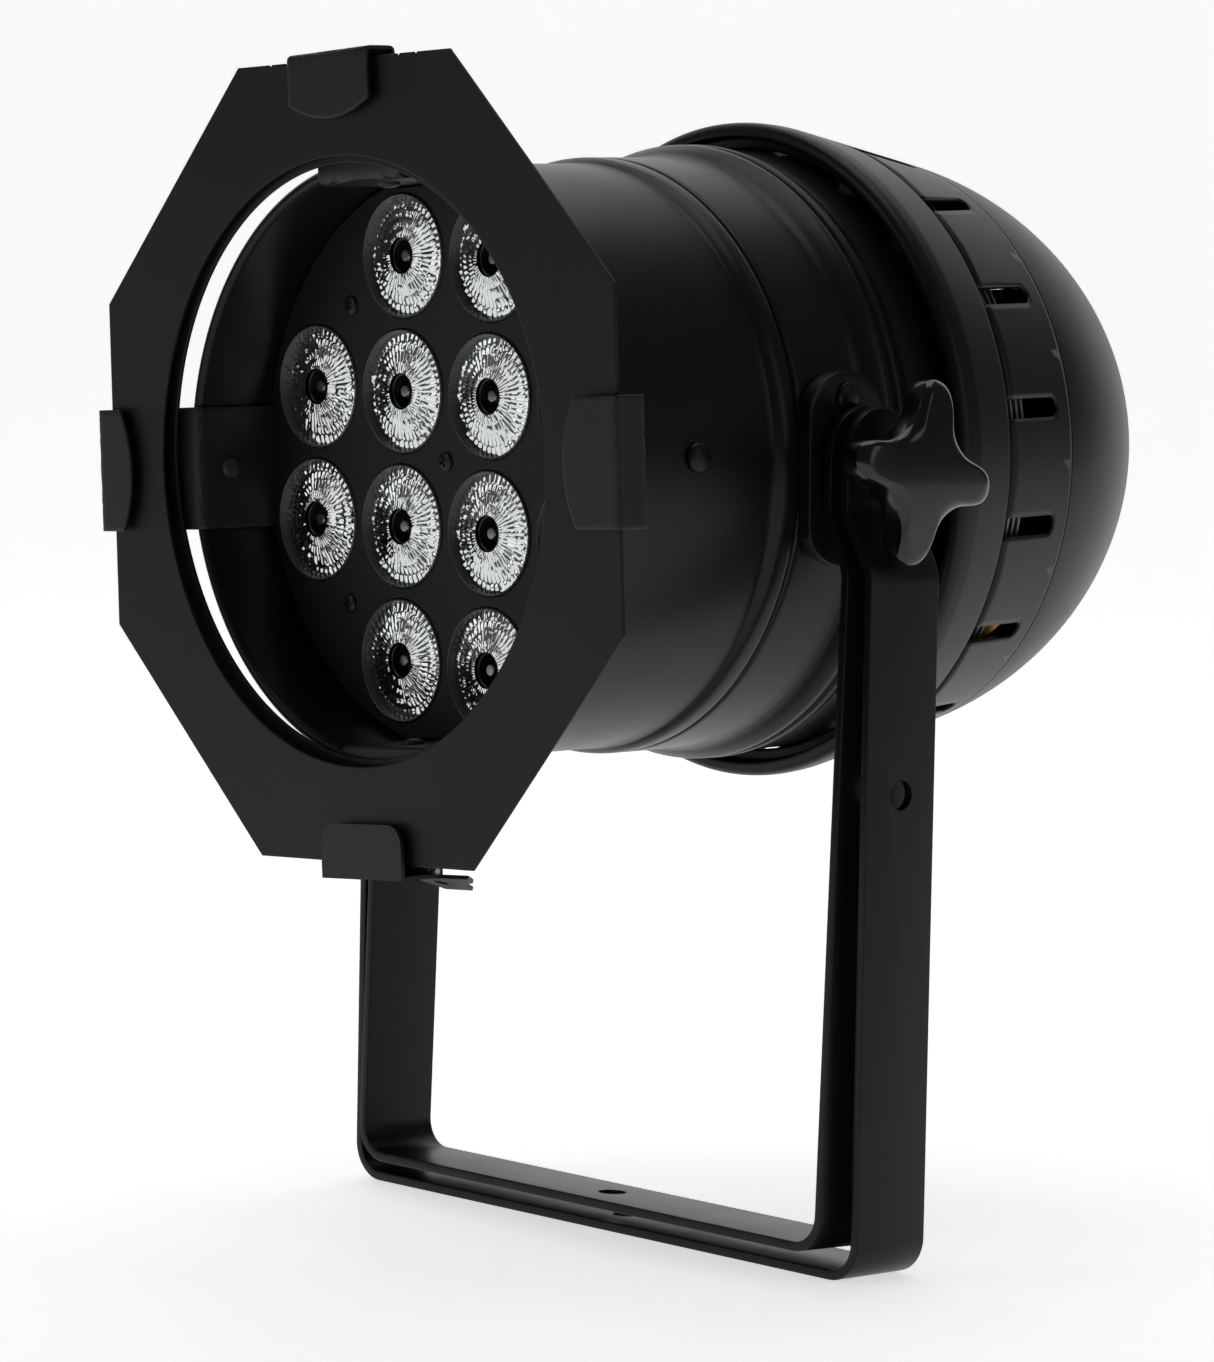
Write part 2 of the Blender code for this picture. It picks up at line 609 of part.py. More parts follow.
def build_frame(seat, looks):
    """A folded colour frame: the front leaf, and a smaller rear leaf hanging from the fold at the top."""
    centre = add_empty("frame_centre", seat, (0, 0, FRAME_LIFT))
    front = prism([octagon(FRAME_HALF, FRAME_SIDE_HALF), circle(APERTURE_RADIUS, ROUND)], 0, FRAME_SHEET)
    frame = add_object("colour_frame", front, centre, look=looks["frame"])
    start = FRAME_SHEET + GAP
    room = CLIP_BACK - CLIP_SHEET - GAP - start - FRAME_SHEET
    splay = math.degrees(math.atan(room / (FRAME_HALF + REAR_LEAF_HALF)))
    fold_half = FRAME_SIDE_HALF * REAR_LEAF_HALF / FRAME_HALF
    top = FRAME_HALF - FRAME_SHEET
    outline = [(-fold_half, top), (fold_half, top)] + octagon(REAR_LEAF_HALF, fold_half)
    outline = [(x, z - FRAME_HALF) for x, z in outline]
    rear = prism([outline, circle(REAR_LEAF_APERTURE, ROUND, 0, -FRAME_HALF)], 0, FRAME_SHEET)
    leaf = add_object("rear_leaf", rear, centre, (0, start, FRAME_HALF), (splay, 0, 0))
    fold = add_object("leaf_fold", box((GAP - fold_half, FRAME_SHEET * 0.4, top - 0.0006),
                                       (fold_half - GAP, 2 * FRAME_SHEET, FRAME_HALF - 0.0002)), centre)
    combine(frame, fold, "UNION")
    combine(frame, leaf, "UNION")


def bent_strip(path, width):
    """A bent sheet: its closed (depth, radius) section made solid across its width, with radius up."""
    bm = bmesh.new()
    left = [bm.verts.new((-width / 2, depth, radius)) for depth, radius in path]
    right = [bm.verts.new((width / 2, depth, radius)) for depth, radius in path]
    bm.faces.new(left)
    bm.faces.new(right)
    for index in range(len(path)):
        after = (index + 1) % len(path)
        bm.faces.new((left[index], left[after], right[after], right[index]))
    return bm


def clip_base_radius():
    """Where a flat strip of the clip's width just fits inside the can."""
    return math.sqrt((CAN_RADIUS - CAN_WALL) ** 2 - (CLIP_WIDTH / 2) ** 2) - GAP


def clip_section(end):
    """Both sides of the sheet from the tail inside the can, out past its rim to the end of the wall."""
    base = clip_base_radius()
    front = CLIP_BACK - CLIP_SHEET
    inside = [(CLIP_TAIL, base - CLIP_SHEET), (front + 0.0006, base - CLIP_SHEET),
              (front, base - CLIP_SHEET + 0.0008), (front, end)]
    outside = [(CLIP_BACK, base + 0.0004), (CLIP_BACK + 0.0004, base), (CLIP_TAIL, base)]
    return inside, outside


def add_can_rivet(seat, place, angle, looks):
    hub = add_empty("can_rivet_turn_" + place, seat, rotation=(0, angle, 0))
    dome = dome_profile(CAN_RADIUS, 0.0044, 0.0027)
    add_object("can_rivet_" + place, lathe(dome, 18), hub, (0, CAN_RIVET_DEPTH, 0), (90, 0, 0), looks["paint"])


def build_clips(seat, looks):
    half = CLIP_WIDTH / 2
    wall = FRAME_HALF + CLIP_CLEARANCE
    outer = wall + CLIP_SHEET
    lip = CLIP_FRONT + CLIP_SHEET * 0.5
    inside, outside = clip_section(wall)
    section = inside + [(lip, wall), (lip, outer), (CLIP_BACK - 0.0008, outer), (CLIP_BACK, outer - 0.0008)] + outside
    for place, angle, tab_length in CLIPS:
        turned = (0, angle, 0)
        clip = add_object("clip_" + place, bent_strip(section, CLIP_WIDTH), seat, rotation=turned, look=looks["clip"])
        tab = [(half, outer), (-half, outer)]
        for step in range(9):
            x = half * (step / 4 - 1)
            tab.append((x, outer - tab_length + CLIP_TAB_ARC * (x / half) ** 2))
        tab = prism([tab], CLIP_FRONT, CLIP_FRONT + CLIP_SHEET)
        combine(clip, add_object("clip_tab_" + place, tab, seat, rotation=turned), "UNION")
        add_can_rivet(seat, place, angle, looks)
    add_can_rivet(seat, "bottom", LATCH_ANGLE, looks)


def build_latch(seat, looks):
    """Bottom clip: a fixed strip with one knuckle, and a sprung catch that swings on the pin through it."""
    half = CLIP_WIDTH / 2
    wall = FRAME_HALF + CLIP_CLEARANCE
    centre = KNUCKLE_HALF_LENGTH
    pin_depth = CLIP_BACK + KNUCKLE_RADIUS + 0.0005
    pin_drop = wall + CLIP_SHEET - KNUCKLE_RADIUS + GAP
    under = add_empty("latch_side", seat, rotation=(0, LATCH_ANGLE, 0))
    stop = wall - 0.0010
    inside, outside = clip_section(stop)
    base = add_object("latch_base", bent_strip(inside + [(CLIP_BACK, stop)] + outside, CLIP_WIDTH), under,
                      look=looks["clip"])
    front = CLIP_BACK - CLIP_SHEET + 0.0001
    rear = CLIP_BACK - 0.0001
    tongue = [(front, stop - 0.004), (rear, stop - 0.004), (rear, pin_drop - 0.0018),
              (pin_depth, pin_drop - 0.0018), (pin_depth, pin_drop), (front, pin_drop)]
    combine(base, add_object("latch_tongue", bent_strip(tongue, 2 * centre - 0.0002), under), "UNION")
    pin_place = (0, pin_depth, pin_drop)
    across = (0, 0, 90)
    barrel = lathe([(-centre, 0), (-centre, KNUCKLE_RADIUS), (centre, KNUCKLE_RADIUS), (centre, 0)], 20)
    combine(base, add_object("latch_barrel", barrel, under, pin_place, across), "UNION")
    bore = PIN_RADIUS + RUNNING
    drill("latch_base_bore", base, under, bore, -half, half, pin_place, across)
    pin = lathe([(-half, 0), (-half, PIN_RADIUS), (half, PIN_RADIUS), (half, 0)], 16)
    add_object("latch_pin", pin, under, pin_place, across, looks["zinc"])

    axis = add_empty("latch_axis", under, pin_place)
    inner = centre + GAP
    low = wall - pin_drop
    high = low + CLIP_SHEET
    lip = CLIP_FRONT + CLIP_SHEET * 0.5 - pin_depth
    notch = CLIP_BACK - CLIP_SHEET - 0.0006 - pin_depth
    floor = [(-half, lip), (half, lip), (half, 0), (inner, 0), (inner, notch), (-inner, notch), (-inner, 0), (-half, 0)]
    catch = add_object("frame_latch", prism([floor], low, high, lying=True), axis, look=looks["clip"])
    tip = high - LATCH_TAB
    tab = [(half, high), (-half, high)]
    for side, sweep in ((-1, range(0, 91, 18)), (1, range(90, -1, -18))):
        for angle in sweep:
            turn = math.radians(angle)
            tab.append((side * (half - LATCH_CORNER + LATCH_CORNER * math.cos(turn)),
                        tip + LATCH_CORNER - LATCH_CORNER * math.sin(turn)))
    tab = prism([tab], CLIP_FRONT - pin_depth, CLIP_FRONT + CLIP_SHEET - pin_depth)
    combine(catch, add_object("latch_tab", tab, axis), "UNION")
    for side, start, end in (("right", -half, -inner), ("left", inner, half)):
        barrel = lathe([(start, 0), (start, KNUCKLE_RADIUS), (end, KNUCKLE_RADIUS), (end, 0)], 20)
        combine(catch, add_object("catch_barrel_" + side, barrel, axis, rotation=(0, 0, -90)), "UNION")
    tail = [(-inner - 0.0007, 0), (-inner - 0.0007, 0.0155), (-0.0174, 0.0160), (-0.0215, 0.0088), (-0.0286, 0.0064),
            (-0.0315, 0.0018), (-half + 0.0005, 0.0018), (-half + 0.0005, 0)]
    tail = prism([tail, circle(0.0024, 16, -0.0129, 0.0074)], GAP, GAP + CLIP_SHEET, lying=True)
    combine(catch, add_object("catch_tail", tail, axis, rotation=(LATCH_TAIL_SLOPE, 0, 0)), "UNION")
    drill("catch_bore", catch, axis, bore, -half - 0.001, half + 0.001, rotation=across)


def looks_for_pieces():
    return {
        "paint": material("satin_black_paint", (0.045, 0.046, 0.048), 0.42),
        "shell": material("rear_shell_paint", (0.050, 0.050, 0.052), 0.45),
        "frame": material("frame_black", (0.035, 0.033, 0.030), 0.55),
        "clip": material("clip_grey", (0.085, 0.086, 0.090), 0.45),
        "plate": material("plate_black", (0.030, 0.031, 0.033), 0.55),
        "lens": material("lens_clear", (0.85, 0.87, 0.90), 0.08, alpha=0.5),
        "board": material("board_green", (0.03, 0.12, 0.06), 0.5),
        "fins": material("fin_aluminium", (0.62, 0.63, 0.64), 0.35, 1.0),
        "zinc": material("zinc_plate", (0.62, 0.63, 0.65), 0.28, 1.0),
        "rubber": material("washer_rubber", (0.02, 0.02, 0.02), 0.8),
        "knob": material("knob_black", (0.02, 0.02, 0.022), 0.15),
        "display": material("display_dark", (0.01, 0.012, 0.014), 0.1),
    }


def main():
    clear_scene()
    looks = looks_for_pieces()
    root = add_empty("stand_seat", None)
    pivot = add_empty("pivot_axis", root, (0, 0, PIVOT_HEIGHT))
    head = add_empty("head_axis", pivot, rotation=(HEAD_TILT, 0, 0))
    seat = add_empty("frame_seat", head, (0, back(0.0), 0), (0, FRAME_ROLL, 0))
    faces = build_brackets(pivot, looks)
    build_pivots(pivot, head, faces, looks)
    build_can(head, looks)
    build_light(head, seat, looks)
    build_panel(head, looks)
    build_frame(seat, looks)
    build_clips(seat, looks)
    build_latch(seat, looks)


main()
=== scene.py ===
import math

import bmesh
import bpy
import numpy as np
from mathutils import Matrix, Vector


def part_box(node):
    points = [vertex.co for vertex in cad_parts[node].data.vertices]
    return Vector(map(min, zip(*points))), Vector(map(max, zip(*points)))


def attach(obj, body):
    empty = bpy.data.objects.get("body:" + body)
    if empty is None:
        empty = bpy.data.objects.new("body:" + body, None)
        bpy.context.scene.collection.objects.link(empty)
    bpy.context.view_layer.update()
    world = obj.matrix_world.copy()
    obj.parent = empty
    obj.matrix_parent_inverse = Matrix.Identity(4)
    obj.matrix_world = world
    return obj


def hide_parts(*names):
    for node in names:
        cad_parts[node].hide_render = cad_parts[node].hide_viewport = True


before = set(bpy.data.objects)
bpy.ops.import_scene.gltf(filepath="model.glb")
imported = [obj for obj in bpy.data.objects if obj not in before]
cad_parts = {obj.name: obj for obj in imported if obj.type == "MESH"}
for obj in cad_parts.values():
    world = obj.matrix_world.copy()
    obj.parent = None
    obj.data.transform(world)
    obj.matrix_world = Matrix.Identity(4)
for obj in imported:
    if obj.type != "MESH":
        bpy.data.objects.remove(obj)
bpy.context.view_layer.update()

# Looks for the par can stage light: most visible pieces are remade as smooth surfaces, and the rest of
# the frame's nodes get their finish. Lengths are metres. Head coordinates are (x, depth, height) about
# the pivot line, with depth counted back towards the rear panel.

# Places shared with the frame
PIVOT_HEIGHT = 0.2423
HEAD_TILT = 0.85
INNER_SWING = -1.6
PIVOT_DEPTH = 0.115
FRAME_ROLL = -3.0
FRAME_LIFT = 0.001
CLIPS = (("top", -1.5, 0.0202), ("right", 89.9, 0.0243), ("left", -90.4, 0.0168))  # place, degrees, tab
CATCH_ANGLE = 178.9
FIXINGS = [(place, angle) for place, angle, tab in CLIPS] + [("bottom", CATCH_ANGLE)]

HEAD = Matrix.Translation((0, 0, PIVOT_HEIGHT)) @ Matrix.Rotation(math.radians(HEAD_TILT), 4, "X")
SEAT = HEAD @ Matrix.Translation((0, -PIVOT_DEPTH, 0)) @ Matrix.Rotation(math.radians(FRAME_ROLL), 4, "Y")
CENTRE = SEAT @ Matrix.Translation((0, 0, FRAME_LIFT))
OUTER = Matrix.Translation((0, 0, PIVOT_HEIGHT))
INNER = OUTER @ Matrix.Rotation(math.radians(INNER_SWING), 4, "X")


def turned(angle, axis):
    """A rotation by an angle in degrees about one axis."""
    return Matrix.Rotation(math.radians(angle), 4, axis)


def outward(sign):
    """Turns a piece modelled along +Y so that it points out of the right (+1) or left (-1) side."""
    return turned(-90 * sign, "Z")


# Meshes


def mesh_piece(name, points, faces, place, body, look, smooth=35, replaces=()):
    """A mesh object standing at the origin, with its place worked into its points."""
    matrix = np.array(place)
    points = np.asarray(points, float).reshape(-1, 3) @ matrix[:3, :3].T + matrix[:3, 3]
    mesh = bpy.data.meshes.new(name)
    mesh.from_pydata(points.tolist(), [], [list(face) for face in faces])
    mesh.update()
    bm = bmesh.new()
    bm.from_mesh(mesh)
    bmesh.ops.remove_doubles(bm, verts=bm.verts, dist=1e-6)
    bmesh.ops.dissolve_degenerate(bm, edges=bm.edges, dist=1e-7)
    bmesh.ops.recalc_face_normals(bm, faces=bm.faces)
    if all(edge.is_manifold for edge in bm.edges) and bm.calc_volume(signed=True) < 0:
        bmesh.ops.reverse_faces(bm, faces=bm.faces)
    bm.to_mesh(mesh)
    bm.free()
    mesh.materials.append(look)
    mesh.shade_smooth()
    mesh.set_sharp_from_angle(angle=math.radians(smooth))
    piece = bpy.data.objects.new(name, mesh)
    bpy.context.collection.objects.link(piece)
    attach(piece, body)
    if replaces:
        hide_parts(*replaces)
    return piece


def grid_faces(rows, columns, wrap_rows=False, wrap_columns=False):
    """Quads of a rows by columns grid of points, joined round where it wraps."""
    r = np.arange(rows if wrap_rows else rows - 1)
    c = np.arange(columns if wrap_columns else columns - 1)
    r, c = np.meshgrid(r, c, indexing="ij")
    r2, c2 = (r + 1) % rows, (c + 1) % columns
    quads = np.stack([r * columns + c, r * columns + c2, r2 * columns + c2, r2 * columns + c], -1)
    return quads.reshape(-1, 4)


def rounded(profile, radius, steps=4):
    """A polyline with each inner corner replaced by a curve: a quadratic from side to side of the corner."""
    profile = [np.array(point, float) for point in profile]
    made = [profile[0]]
    for before, corner, after in zip(profile, profile[1:], profile[2:]):
        reach_in = min(radius, np.linalg.norm(before - corner) * 0.49)
        reach_out = min(radius, np.linalg.norm(after - corner) * 0.49)
        start = corner + (before - corner) / (np.linalg.norm(before - corner) + 1e-12) * reach_in
        end = corner + (after - corner) / (np.linalg.norm(after - corner) + 1e-12) * reach_out
        for t in np.linspace(0, 1, steps + 1):
            made.append((1 - t) ** 2 * start + 2 * t * (1 - t) * corner + t ** 2 * end)
    made.append(profile[-1])
    return np.array(made)


def ring_closed(profile, radius, steps=4):
    """The same rounding for an outline that closes on itself."""
    loop = [profile[-1]] + list(profile) + [profile[0]]
    return rounded(loop, radius, steps)[1:-1]


def revolve(name, profile, place, body, look, segments=160, closed=True, smooth=35, replaces=()):
    """(depth, radius) outline turned about Y: each point goes to (r cos a, depth, r sin a)."""
    profile = np.asarray(profile, float)
    angle = np.linspace(0, 2 * np.pi, segments, endpoint=False)
    points = np.stack([profile[:, None, 1] * np.cos(angle), np.repeat(profile[:, None, 0], segments, 1),
                       profile[:, None, 1] * np.sin(angle)], -1)
    faces = grid_faces(len(profile), segments, closed, True)
    return mesh_piece(name, points, faces, place, body, look, smooth, replaces)


def thicken(piece, thickness, bevel=0.0):
    """Gives a sheet its wall, inwards from its face, and softens the wall's edges."""
    wall = piece.modifiers.new("wall", "SOLIDIFY")
    wall.thickness = thickness
    wall.offset = -1
    wall.use_even_offset = True
    if bevel:
        edge = piece.modifiers.new("edge", "BEVEL")
        edge.width = bevel
        edge.segments = 2
        edge.limit_method = "ANGLE"
        edge.angle_limit = math.radians(50)


def settle(piece, *cutters):
    """Cuts the cutters out, works all modifiers into the mesh and removes the cutters."""
    for cutter in cutters:
        cut = piece.modifiers.new("cut", "BOOLEAN")
        cut.operation = "DIFFERENCE"
        cut.solver = "EXACT"
        cut.object = cutter
    bpy.context.view_layer.update()
    graph = bpy.context.evaluated_depsgraph_get()
    made = bpy.data.meshes.new_from_object(piece.evaluated_get(graph), depsgraph=graph)
    piece.modifiers.clear()
    piece.data = made
    for cutter in cutters:
        bpy.data.objects.remove(cutter, do_unlink=True)


def cylinder_cutter(radius, start, end, place, segments=48):
    """A plain closed cylinder along Y, to cut a hole with."""
    angle = np.linspace(0, 2 * np.pi, segments, endpoint=False)
    ring = np.stack([radius * np.cos(angle), 0 * angle, radius * np.sin(angle)], -1)
    matrix = np.array(place)
    points = np.concatenate([ring + (0, start, 0), ring + (0, end, 0)]) @ matrix[:3, :3].T + matrix[:3, 3]
    faces = grid_faces(2, segments, False, True).tolist()
    faces += [list(range(segments))[::-1], list(range(segments, 2 * segments))]
    mesh = bpy.data.meshes.new("cutter")
    mesh.from_pydata(points.tolist(), [], faces)
    bm = bmesh.new()
    bm.from_mesh(mesh)
    bmesh.ops.recalc_face_normals(bm, faces=bm.faces)
    bm.to_mesh(mesh)
    bm.free()
    cutter = bpy.data.objects.new("cutter", mesh)
    bpy.context.collection.objects.link(cutter)
    return cutter


# Materials


def shader(name, colour, roughness, metallic=0.0, coat=0.0, coat_roughness=0.1, specular=0.22):
    """A plain finish, set on the surface shader's own sockets."""
    look = bpy.data.materials.new(name)
    look.use_nodes = True
    surface = look.node_tree.nodes["Principled BSDF"]
    surface.inputs["Base Color"].default_value = (*colour, 1.0)
    surface.inputs["Roughness"].default_value = roughness
    surface.inputs["Metallic"].default_value = metallic
    surface.inputs["Coat Weight"].default_value = coat
    surface.inputs["Coat Roughness"].default_value = coat_roughness
    surface.inputs["Specular IOR Level"].default_value = specular
    return look


GLOSS_SPREAD = 0.05
ORANGE_PEEL_SCALE = 2600
ORANGE_PEEL_HEIGHT = 0.00004


def painted(name, colour, roughness, patch_scale, spread, peel):
    """Sprayed paint, with its noise on object coordinates.

    Wide noise moves the colour by a share of spread and the roughness by GLOSS_SPREAD either way. Fine
    noise raises the surface like orange peel, with the strength peel.
    """
    look = shader(name, colour, roughness)
    nodes, links = look.node_tree.nodes, look.node_tree.links
    surface = nodes["Principled BSDF"]
    coordinates = nodes.new("ShaderNodeTexCoord")
    patches = nodes.new("ShaderNodeTexNoise")
    patches.inputs["Scale"].default_value = patch_scale
    patches.inputs["Detail"].default_value = 4
    links.new(coordinates.outputs["Object"], patches.inputs["Vector"])
    shade = nodes.new("ShaderNodeMapRange")
    shade.inputs["To Min"].default_value = 1 - spread
    shade.inputs["To Max"].default_value = 1 + spread
    links.new(patches.outputs["Fac"], shade.inputs["Value"])
    tint = nodes.new("ShaderNodeMix")
    tint.data_type = "RGBA"
    tint.blend_type = "MULTIPLY"
    tint.inputs["Factor"].default_value = 1.0
    tint.inputs["A"].default_value = (*colour, 1.0)
    links.new(shade.outputs["Result"], tint.inputs["B"])
    links.new(tint.outputs["Result"], surface.inputs["Base Color"])
    gloss = nodes.new("ShaderNodeMapRange")
    gloss.inputs["To Min"].default_value = roughness - GLOSS_SPREAD
    gloss.inputs["To Max"].default_value = roughness + GLOSS_SPREAD
    links.new(patches.outputs["Fac"], gloss.inputs["Value"])
    links.new(gloss.outputs["Result"], surface.inputs["Roughness"])
    fine = nodes.new("ShaderNodeTexNoise")
    fine.inputs["Scale"].default_value = ORANGE_PEEL_SCALE
    fine.inputs["Detail"].default_value = 2
    links.new(coordinates.outputs["Object"], fine.inputs["Vector"])
    height = nodes.new("ShaderNodeBump")
    height.inputs["Strength"].default_value = peel
    height.inputs["Distance"].default_value = ORANGE_PEEL_HEIGHT
    links.new(fine.outputs["Fac"], height.inputs["Height"])
    links.new(height.outputs["Normal"], surface.inputs["Normal"])
    return look


BLACK = (0.0036, 0.0038, 0.0041)
paint = painted("satin_black_paint", BLACK, 0.34, 30, 0.12, 0.25)
shell_paint = painted("shell_black_paint", BLACK, 0.38, 26, 0.12, 0.3)
bracket_paint = painted("bracket_black_paint", (0.0038, 0.0040, 0.0043), 0.36, 40, 0.12, 0.35)
leaf_paint = painted("colour_frame_black", (0.0042, 0.0037, 0.0028), 0.46, 18, 0.10, 0.3)
clip_paint = painted("clip_grey", (0.0125, 0.0130, 0.0142), 0.42, 60, 0.10, 0.3)
plate_paint = painted("lamp_plate_black", (0.0062, 0.0064, 0.0069), 0.5, 50, 0.10, 0.3)
dark_inside = shader("dark_inside", (0.006, 0.006, 0.0065), 0.6)
knob_plastic = shader("knob_gloss_black", (0.003, 0.003, 0.0033), 0.18, coat=0.25, coat_roughness=0.06,
                      specular=0.35)
zinc = shader("zinc_plate", (0.62, 0.62, 0.60), 0.25, 1.0)
spacer_metal = shader("spacer_dark", (0.05, 0.05, 0.052), 0.4, 0.5)
rubber = shader("washer_rubber", (0.012, 0.012, 0.012), 0.7)
fin_metal = shader("fin_aluminium", (0.20, 0.205, 0.215), 0.5, 0.6)
wire_yellow = shader("wire_yellow", (0.62, 0.36, 0.06), 0.4)
wire_brown = shader("wire_brown", (0.16, 0.05, 0.02), 0.4)
socket_plastic = shader("socket_black", (0.010, 0.010, 0.011), 0.35)
pin_metal = shader("pin_brass", (0.65, 0.55, 0.35), 0.3, 1.0)
window_glass = shader("display_window", (0.004, 0.006, 0.007), 0.06, coat=1.0)
digit_red = shader("display_digit", (0.5, 0.02, 0.01), 0.4)
mirror_cup = shader("lens_facets", (0.68, 0.70, 0.71), 0.06, 1.0)
lens_rim = shader("lens_rim", (0.075, 0.078, 0.082), 0.3, 0.3)
well_dark = shader("lens_well", (0.012, 0.012, 0.013), 0.25)
lens_post = shader("lens_post", (0.20, 0.21, 0.22), 0.22, 0.9)
dark_screw = shader("screw_black", (0.02, 0.02, 0.021), 0.3, 0.5)
dark_rivet = shader("rivet_dark", (0.03, 0.03, 0.032), 0.3)


# Can


def head_profile(points):
    """Depths counted from the colour frame's front become depths about the pivot."""
    points = np.asarray(points, float)
    return points - (PIVOT_DEPTH, 0)


TUBE_RADIUS = 0.090
TUBE_WALL = 0.002
TUBE_FRONT = 0.0083
JOINT_DEPTH = 0.097
MID_RADIUS = 0.092
CREST_RADIUS = 0.0961
CREST_DEPTH = 0.1315
NECK_RADIUS = 0.0944
NECK_END = 0.1622


def make_front_can():
    """The tube: an outline turned about the axis, with a bead rolled round each end."""
    inside = TUBE_RADIUS - TUBE_WALL
    bead = TUBE_FRONT + 0.0019
    rim = [(bead + 0.0030, TUBE_RADIUS), (bead + 0.0022, TUBE_RADIUS + 0.0006),
           (bead + 0.0012, TUBE_RADIUS + 0.0016), (bead, TUBE_RADIUS + 0.0019),
           (bead - 0.0012, TUBE_RADIUS + 0.0014), (TUBE_FRONT, TUBE_RADIUS + 0.0002),
           (TUBE_FRONT + 0.0002, TUBE_RADIUS - 0.0012), (TUBE_FRONT + 0.0016, inside)]
    back_end = [(JOINT_DEPTH - 0.0003, inside), (JOINT_DEPTH - 0.0003, MID_RADIUS - 0.0007)]
    bead_back = [(JOINT_DEPTH - 0.0008, MID_RADIUS - 0.0002), (JOINT_DEPTH - 0.0018, MID_RADIUS),
                 (JOINT_DEPTH - 0.0046, MID_RADIUS), (JOINT_DEPTH - 0.0062, MID_RADIUS - 0.0002),
                 (JOINT_DEPTH - 0.0078, MID_RADIUS - 0.0009), (JOINT_DEPTH - 0.0092, TUBE_RADIUS + 0.0002),
                 (JOINT_DEPTH - 0.0110, TUBE_RADIUS)]
    outline = ring_closed(rim + back_end + bead_back, 0.0006, 3)
    revolve("front_can_tube", head_profile(outline), HEAD, "head", paint, 200, replaces=("front_can",))


def make_middle_can():
    """The pressed middle: level, swelling to a grooved crest, then stepping in to the neck."""
    start, crest = JOINT_DEPTH, CREST_DEPTH
    outline = [(start, MID_RADIUS - 0.0012), (start + 0.0006, MID_RADIUS - 0.0002),
               (start + 0.0018, MID_RADIUS),
               (crest - 0.0120, MID_RADIUS), (crest - 0.0090, MID_RADIUS + 0.0002),
               (crest - 0.0068, MID_RADIUS + 0.0010), (crest - 0.0046, MID_RADIUS + 0.0024),
               (crest - 0.0026, CREST_RADIUS - 0.0007), (crest - 0.0010, CREST_RADIUS - 0.0001),
               (crest + 0.0006, CREST_RADIUS - 0.0001), (crest + 0.0014, CREST_RADIUS - 0.0006),
               (crest + 0.0019, CREST_RADIUS - 0.0014), (crest + 0.0024, CREST_RADIUS - 0.0014),
               (crest + 0.0029, CREST_RADIUS - 0.0006), (crest + 0.0040, CREST_RADIUS),
               (crest + 0.0054, CREST_RADIUS - 0.0001), (crest + 0.0066, CREST_RADIUS - 0.0006),
               (crest + 0.0078, NECK_RADIUS + 0.0006), (crest + 0.0092, NECK_RADIUS),
               (NECK_END, NECK_RADIUS), (NECK_END, NECK_RADIUS - TUBE_WALL),
               (crest + 0.006, NECK_RADIUS - TUBE_WALL),
               (crest - 0.010, MID_RADIUS - 0.0025), (start, MID_RADIUS - 0.0025)]
    outline = ring_closed(outline, 0.0007, 3)
    revolve("middle_can_shell", head_profile(outline), HEAD, "head", paint, 200, replaces=("middle_can",))


RING_FRONT = 0.1532
VENT_FRONT = 0.178
VENT_REAR = 0.212
VENT_FRONT_RADIUS = 0.0994
VENT_REAR_RADIUS = 0.0922
SHELL_WALL = 0.0016


def cone_radius(depth):
    """Radius of the vent cone, which falls evenly from its front to its rear."""
    slope = (VENT_REAR_RADIUS - VENT_FRONT_RADIUS) / (VENT_REAR - VENT_FRONT)
    return VENT_FRONT_RADIUS + slope * (depth - VENT_FRONT)


def make_rear_ring():
    """The ring before the vents: a rounded lip, the cone's slope, and a turned-in seat on the neck."""
    lip = RING_FRONT
    edge = cone_radius(lip)
    seam = VENT_FRONT - 0.00025
    outline = [(lip, edge - 0.0052), (lip + 0.0004, edge - 0.0033), (lip + 0.0018, edge - 0.0018),
               (lip + 0.0044, edge - 0.0015), (lip + 0.0085, cone_radius(lip + 0.0085)),
               (seam - 0.0005, cone_radius(seam - 0.0005)), (seam, cone_radius(seam) - 0.0004),
               (seam, cone_radius(seam) - SHELL_WALL),
               (lip + 0.0070, cone_radius(lip + 0.0070) - 0.0035), (lip + 0.0070, NECK_RADIUS + 0.0003),
               (lip + 0.0050, NECK_RADIUS + 0.0003), (lip + 0.0050, edge - 0.0062),
               (lip + 0.0004, edge - 0.0062)]
    outline = ring_closed(outline, 0.0010, 4)
    revolve("rear_ring_shell", head_profile(outline), HEAD, "head", shell_paint, 200, replaces=("rear_ring",))


SLOTS = 17
SEAM = 0.00025
SLOT_START = 9.4
SLOT_HALF = 0.0031
SLOT_END = 0.205


